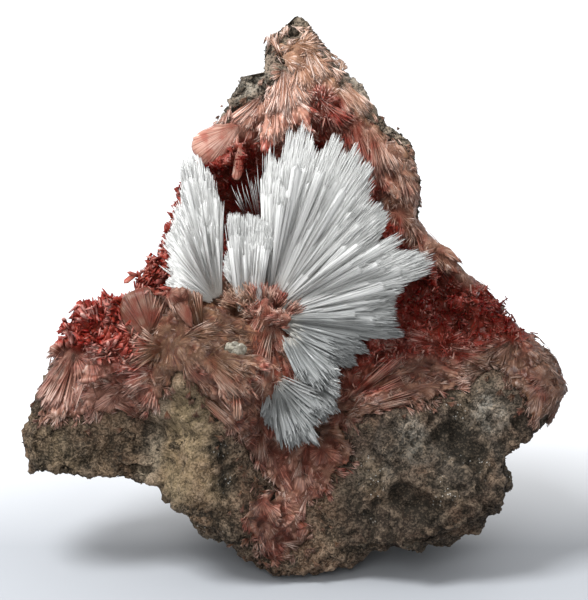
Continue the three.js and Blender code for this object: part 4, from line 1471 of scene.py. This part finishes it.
# The natrolite sprays, in groups of blades. For each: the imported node, the pixel and the depth where
# the blades start, how far those starts reach towards the viewer, in millimetres, the range of leans
# towards the viewer, in degrees, how loose they lie, the share of blades, how clear and grey they are,
# how far from the root they begin, in millimetres, and the pixels that the tips reach.
NATROLITE = [
    (
        "natrolite_main_spray", (268, 317), -15.5, (-1.5, 4), (-20, 32), 0.005, 1.0, 0.0, 4.0,
        [
            (331, 360), (345, 366), (357, 364), (352, 352), (370, 352), (358, 338), (401, 337), (399, 329),
            (393, 316), (392, 300), (402, 290), (400, 287), (414, 282), (424, 275), (433, 264), (421, 253),
            (410, 250), (394, 252), (402, 242), (394, 235), (375, 244), (389, 217), (380, 213), (380, 207),
            (366, 202), (374, 180), (366, 184), (372, 174), (360, 160), (354, 147), (344, 158), (340, 141),
            (329, 139), (318, 158), (314, 151), (312, 123), (307, 134), (303, 123), (296, 140), (289, 127),
            (285, 148), (278, 170), (272, 146), (268, 144), (266, 175),
        ],
    ),
    (
        "natrolite_main_spray", (249, 372), -15.5, (-1.5, 3), (-8, 16), 0.005, 0.2, 0.1, 16.0,
        [(270, 226), (264, 219), (256, 218), (248, 216), (240, 215), (233, 216)],
    ),
    (
        "natrolite_main_spray", (252, 306), -15.5, (-1.5, 3), (-10, 26), 0.005, 0.14, 0.1, 3.0,
        [(276, 236), (262, 232), (250, 236), (240, 238), (231, 240), (228, 255), (225, 270)],
    ),
    (
        "natrolite_left_spray", (222, 306), -16, (-1, 3), (-6, 30), 0.008, 0.36, -0.06, 2.6,
        [
            (224, 204), (220, 192), (215, 177), (207, 166), (194, 153), (181, 163), (184, 190), (180, 210),
            (177, 206), (177, 226), (166, 244), (174, 258), (168, 265), (178, 274), (169, 283),
        ],
    ),
    (
        "natrolite_lower_spray", (274, 376), -18.5, (0, 4), (-5, 34), 0.065, 0.2, -0.62, 1.5,
        [
            (264, 408), (272, 420), (280, 430), (287, 444), (296, 441), (303, 435), (311, 438), (318, 440),
            (313, 426), (318, 414), (331, 411), (326, 402), (318, 392),
        ],
    ),
    (
        "natrolite_lower_spray", (298, 368), -18.5, (0, 4), (-5, 34), 0.065, 0.16, -0.62, 1.5,
        [(303, 412), (318, 412), (332, 412), (335, 400), (334, 395), (338, 388), (337, 376), (334, 364)],
    ),
    (
        "natrolite_lower_spray", (286, 374), -18.5, (0, 3), (-5, 20), 0.05, 0.06, -0.45, 1.5,
        [(254, 380), (254, 390), (257, 397), (262, 406), (268, 412)],
    ),
    (
        "natrolite_lower_spray", (280, 326), -18.5, (0, 3), (-5, 30), 0.06, 0.12, -0.25, 3.5,
        [(298, 372), (306, 380), (318, 386), (334, 382), (339, 368), (340, 352), (334, 342)],
    ),
]
FRONT_SHARE = 0.75  # share of the blades that lie in the front of a spray
NARROWEST = math.radians(0.6)  # angle that the narrowest blade takes up
STREAK_SHIFT = 57  # millimetres between the streaks of blades a radian apart
FOLDS = (9, 17, 31)  # how often the front of a spray folds, for each radian of turn
STRAYS_EACH = 4
STRAYS = [  # lone needles in the hollow, from root to tip, as pixels
    ((262, 222), (257, 176)), ((260, 222), (253, 184)), ((264, 222), (262, 178)), ((256, 220), (247, 186)),
    ((246, 216), (236, 194)), ((266, 222), (266, 150)), ((270, 222), (271, 146)), ((248, 216), (241, 190)),
]


class SPECIMEN_OT_natrolite(bpy.types.Operator):
    """Builds the natrolite sprays out of streaked blades and fine needles"""

    bl_idname = "specimen.natrolite"
    bl_label = "Natrolite"

    def execute(self, context):
        settings = context.scene.specimen_natrolite
        material = natrolite_material(settings)
        heaps = {}
        for index, (node, *given) in enumerate(NATROLITE):
            if node not in heaps:
                heaps[node] = Crystals(PRISM), Crystals(SPIKE)
            self.add_group(np.random.default_rng(301 + index), *heaps[node], settings, Skin(node), given)
        self.add_strays(np.random.default_rng(401), heaps["natrolite_main_spray"][1], settings)
        for node, (blades, needles) in heaps.items():
            finish(blades.build(node.replace("spray", "blades")), material, "natrolite")
            finish(needles.build(node.replace("spray", "needles")), material, "natrolite", node)
        return {"FINISHED"}

    def add_group(self, rng, blades, needles, settings, skin, given):
        """Blades that spread from one place to the edge, with needles on and past each one."""
        root, depth, fronts, leans, loose, share, grey, begins, ends = given
        count = int(settings.blades * share)
        each = int(settings.needles * share * QUICK_SHARE / count) + 1
        base = to_world((*pixel_to_face(root), depth))
        ends = pixel_to_face(ends) - pixel_to_face(root)
        ends = ends[np.argsort(np.arctan2(ends[:, 1], ends[:, 0]))]
        self.turns, self.reaches = np.arctan2(ends[:, 1], ends[:, 0]), np.linalg.norm(ends, axis=1)
        front_turns = np.linspace(self.turns[0], self.turns[-1], 40)
        front_leans = [self.front_lean(skin, base + VIEWER * fronts[1], turn, leans) for turn in front_turns]
        front_leans = np.convolve(np.pad(front_leans, 4, mode="edge"), np.ones(9) / 9, "valid")
        fold = rng.uniform(0, 6, 3)
        made = 0
        while made < count:
            turn = rng.uniform(self.turns[0], self.turns[-1])
            in_front = rng.random() < FRONT_SHARE
            if in_front:
                folds = np.sin(turn * np.array(FOLDS) + fold).mean()
                lean = np.interp(turn, front_turns, front_leans) - math.radians(0.6 - 0.9 * folds)
                lean += rng.normal(0, loose)
                foot = base + VIEWER * fronts[1] + rng.normal(0, 0.1 + 6 * loose, 3)
                reach = self.edge(turn, lean) * rng.uniform(0.88, 1.0)
            else:
                lean = math.radians(rng.uniform(*leans))
                foot = base + VIEWER * rng.uniform(*fronts) + rng.normal(0, 0.5, 3)
                solid, edge = self.reach(skin, foot, turn, lean), self.edge(turn, lean)
                if solid is None:
                    continue
                further = rng.random() * min(max(lean / 0.3, 0), 1)
                reach = min(solid + max(edge - solid, 0) * further, edge) * rng.uniform(0.9, 1.0)
            made += 1
            spread = rng.uniform(NARROWEST, settings.blade_spread)
            begin = min(begins * rng.uniform(0.7, 1.3), 0.7 * reach)
            thick = rng.uniform(0.12, 0.26)
            # Blades that point right or down get painted shade.
            tint = grey + self.shade_greyness(turn) + rng.normal(0, 0.04)
            blunt = min(self.edge(turn + side * spread / 2, lean) for side in (-1, 0, 1))
            flat = VIEWER + rng.normal(0, 0.06 + 3 * loose, 3)
            reach = min(reach, 0.97 * blunt)
            self.add_one(blades, foot, turn, lean, flat, begin, reach * 0.9, spread, thick, tint)
            turned = turn + spread * rng.uniform(-0.55, 0.55, each)
            layer = np.where(rng.random(each) < 0.8, 1.1, rng.uniform(-1, 1, each))
            leaned = lean + thick / reach / 2 * layer
            long = np.minimum(reach * rng.uniform(0.86, 1.06, each), self.edge(turned, leaned))
            start = np.maximum(long * rng.uniform(0.0, 0.8, each), begin)
            long = long * np.where(rng.random(each) < 0.6, 1, rng.uniform(0.9, 1.0, each)) - start
            way = np.stack([self.heading(a, b) for a, b in zip(turned, leaned)])
            width = settings.needle_width / MM * rng.uniform(0.5, 1.3, each)
            needles.add(
                root=foot + way * start[:, None],
                way=way,
                flat=VIEWER + rng.normal(0, 0.3, (each, 3)),
                long=long,
                wide=width,
                thick=width * rng.uniform(0.4, 0.7, each),
                tip=rng.uniform(0.02, 0.2, each),
                tint=np.clip(tint + rng.normal(-0.04, 0.07, each), 0, 1),
                line=rng.uniform(0, 90, each),
            )

    def shade_greyness(self, turn):
        """How grey a blade is painted for its turn, as painted shade: the more it points right or down, the
        more.
        """
        degrees = math.degrees(turn)
        rightwards = min(max(0.62 - degrees / 110, 0), 1)
        downwards = min(max((20 - degrees) / 60, 0), 1)
        return 0.22 + 0.55 * rightwards + downwards

    def add_one(self, heap, foot, turn, lean, flat, begin, reach, spread, thick, tint):
        """A flat blade that begins past its foot and widens to a blunt end."""
        way = self.heading(turn, lean)
        heap.add(
            root=(foot + way * begin)[None],
            way=way[None],
            flat=flat[None],
            long=np.array([reach - begin]),
            wide=reach * spread,
            thick=thick,
            foot=max(begin / reach, 0.05),
            tip=0.045,
            tint=min(max(tint, 0), 1),
            line=turn * STREAK_SHIFT,
        )

    def add_strays(self, rng, heap, settings):
        """Lone needles that stand in the hollow beside the main spray."""
        for root, tip in STRAYS:
            start = to_world((*pixel_to_face(root), FACE_DEPTH))
            for _ in range(STRAYS_EACH):
                end = to_world((*pixel_to_face(tip + rng.normal(0, (1.2, 5.0))), FACE_DEPTH + 1.5))
                way = end - start
                heap.add(
                    root=(start + rng.normal(0, 0.3, 3))[None],
                    way=unit(way)[None],
                    flat=VIEWER[None],
                    long=np.array([np.linalg.norm(way)]),
                    wide=settings.needle_width / MM,
                    thick=0.7 * settings.needle_width / MM,
                    foot=0.5,
                    tip=0.2,
                    tint=0.65,
                    line=rng.uniform(0, 90),
                )

    def front_lean(self, skin, foot, turn, leans):
        """The greatest lean at which the solid still reaches the spray's edge at a turn."""
        for degrees in range(leans[1], leans[0], -2):
            lean = math.radians(degrees)
            far = self.reach(skin, foot, turn, lean)
            if far and far > 0.8 * self.edge(turn, lean):
                return lean
        return math.radians(leans[0] + leans[1]) / 2

    def edge(self, turn, lean):
        """How far the spray's tips reach at a turn and a lean."""
        return np.interp(turn, self.turns, self.reaches) / np.cos(lean)

    def heading(self, turn, lean):
        """The way of a blade that turns across the display face and leans towards the viewer."""
        return to_world((math.cos(turn) * math.cos(lean), math.sin(turn) * math.cos(lean), -math.sin(lean)))

    def reach(self, skin, foot, turn, lean):
        """How far the solid reaches from its foot about a direction, or None if it isn't there."""
        far, found = 60.0, []
        for step in (0, -0.016, 0.016, -0.05, 0.05):
            way = self.heading(turn + step, lean)
            spot, _, _, distance = skin.tree.ray_cast(Vector(foot + way * far), Vector(-way), far - 5)
            if spot is not None:
                found.append(far - distance)
            if step == 0.016 and found:
                return max(found)
        return 0.97 * min(found) if found else None


class SPECIMEN_OT_chip(bpy.types.Operator):
    """Builds the pale crystal that is set in the lump"""

    bl_idname = "specimen.chip"
    bl_label = "Pale crystal"

    def execute(self, context):
        low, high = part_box("pale_crystal_chip")
        chip = primitive("ico_sphere", "pale_crystal", subdivisions=4, radius=0.5)
        size = (high - low) * Vector((0.9, 1.0, 1.25))
        middle = (low + high) / 2
        spots = points_of(chip) * MM
        spots = np.sign(spots) * np.abs(spots * 2) ** 0.75 / 2
        spots = spots * np.array(size) + np.array(middle)
        chip.data.vertices.foreach_set("co", spots.astype(np.float32).reshape(-1))
        roughened(chip, "VORONOI", 1.9 * MM, 1.2 * MM)
        roughened(chip, "CLOUDS", 0.7 * MM, 0.4 * MM)
        finish(chip, chip_material(context.scene.specimen_natrolite), "pale_crystal", "pale_crystal_chip")
        return {"FINISHED"}


LIGHTS_AIM = (0, 0, 45)  # where the lights point, in millimetres


class SPECIMEN_OT_stage(bpy.types.Operator):
    """Builds the floor, the lights and the camera"""

    bl_idname = "specimen.stage"
    bl_label = "Stage"

    def execute(self, context):
        settings = context.scene.specimen_stage
        self.add_floor(settings)
        self.add_world(settings)
        self.add_light("key", (-200, -160, 430), 200, settings.key_power)
        self.add_light("fill", (-60, -640, 330), 260, settings.fill_power)
        self.add_camera(context)
        context.scene.view_settings.view_transform = "Standard"
        return {"FINISHED"}

    def add_floor(self, settings):
        """A floor that curves up behind the specimen."""
        floor = primitive("plane", "floor", size=6, location=(0, 0, -0.1 * MM))
        bpy.ops.object.mode_set(mode="EDIT")
        bpy.ops.mesh.select_all(action="DESELECT")
        bpy.ops.object.mode_set(mode="OBJECT")
        for edge in floor.data.edges:
            ends = [floor.data.vertices[i].co.y for i in edge.vertices]
            edge.select = min(ends) > 2.9
        bpy.ops.object.mode_set(mode="EDIT")
        bpy.ops.mesh.extrude_region_move(TRANSFORM_OT_translate={"value": (0, 0.4, 0.15)})
        bpy.ops.mesh.extrude_region_move(TRANSFORM_OT_translate={"value": (0, 0.2, 3.0)})
        bpy.ops.object.mode_set(mode="OBJECT")
        material, tree, shader = new_material("floor")
        back = put(tree, "ShaderNodeSeparateXYZ", {"Vector": object_place(tree)}).outputs["Y"]
        give(tree, shader, {
            "Base Color": blend(tree, ranged(tree, back, -0.12, -0.03), (0.12, 0.12, 0.12), settings.floor),
            "Roughness": 0.6,
            "Emission Color": (1, 1, 1),
            "Emission Strength": ranged(tree, back, 0.0, 0.1, 0.0, 0.8),
        })
        floor.data.materials.append(material)

    def add_world(self, settings):
        """White surroundings that light the specimen evenly."""
        world = bpy.data.worlds.new("surroundings")
        world.use_nodes = True
        shader = world.node_tree.nodes["Background"]
        shader.inputs["Color"].default_value = (1, 1, 1, 1)
        shader.inputs["Strength"].default_value = settings.sky
        bpy.context.scene.world = world

    def add_light(self, name, place, size, power):
        """A square soft light that points at the specimen, placed and sized in millimetres."""
        light = bpy.data.lights.new(name, "AREA")
        light.energy = power
        light.size = size * MM
        lamp = bpy.data.objects.new(name, light)
        lamp.location = Vector(place) * MM
        aim = Vector(LIGHTS_AIM) * MM - lamp.location
        lamp.rotation_euler = aim.to_track_quat("-Z", "Y").to_euler()
        bpy.context.scene.collection.objects.link(lamp)

    def add_camera(self, context):
        """A camera square to the display face, with the photograph's framing."""
        camera = bpy.data.cameras.new("camera")
        camera.sensor_width = 36.0
        camera.lens = camera.sensor_width * CAMERA_AWAY / (PHOTO_SIZE[0] * PIXEL)
        camera.clip_end = 20.0
        holder = bpy.data.objects.new("camera", camera)
        holder.location = Vector(EYE) * MM
        holder.rotation_euler = Vector(-VIEWER).to_track_quat("-Z", "Y").to_euler()
        context.scene.collection.objects.link(holder)
        context.scene.camera = holder


class SPECIMEN_PT_panel(bpy.types.Panel):
    """Lists the steps"""

    bl_idname = "SPECIMEN_PT_panel"
    bl_label = "Mineral specimen"
    bl_space_type = "VIEW_3D"
    bl_region_type = "UI"
    bl_category = "Specimen"

    def draw(self, context):
        for step in STEPS:
            self.layout.operator(step.bl_idname)


SETTINGS = {
    "specimen_rock": RockSettings,
    "specimen_inesite": InesiteSettings,
    "specimen_natrolite": NatroliteSettings,
    "specimen_stage": StageSettings,
}
STEPS = (
    SPECIMEN_OT_stage,
    SPECIMEN_OT_rock,
    SPECIMEN_OT_inesite,
    SPECIMEN_OT_natrolite,
    SPECIMEN_OT_chip,
)
CLASSES = (*SETTINGS.values(), *STEPS, SPECIMEN_PT_panel)


def register():
    for each in CLASSES:
        bpy.utils.register_class(each)
    for name, kind in SETTINGS.items():
        setattr(bpy.types.Scene, name, PointerProperty(type=kind))


def unregister():
    for name in SETTINGS:
        delattr(bpy.types.Scene, name)
    for each in reversed(CLASSES):
        bpy.utils.unregister_class(each)


def main():
    """Builds the specimen and its stage."""
    register()
    for step in STEPS:
        getattr(bpy.ops.specimen, step.bl_idname.split(".")[1])()


if __name__ == "__main__":
    main()
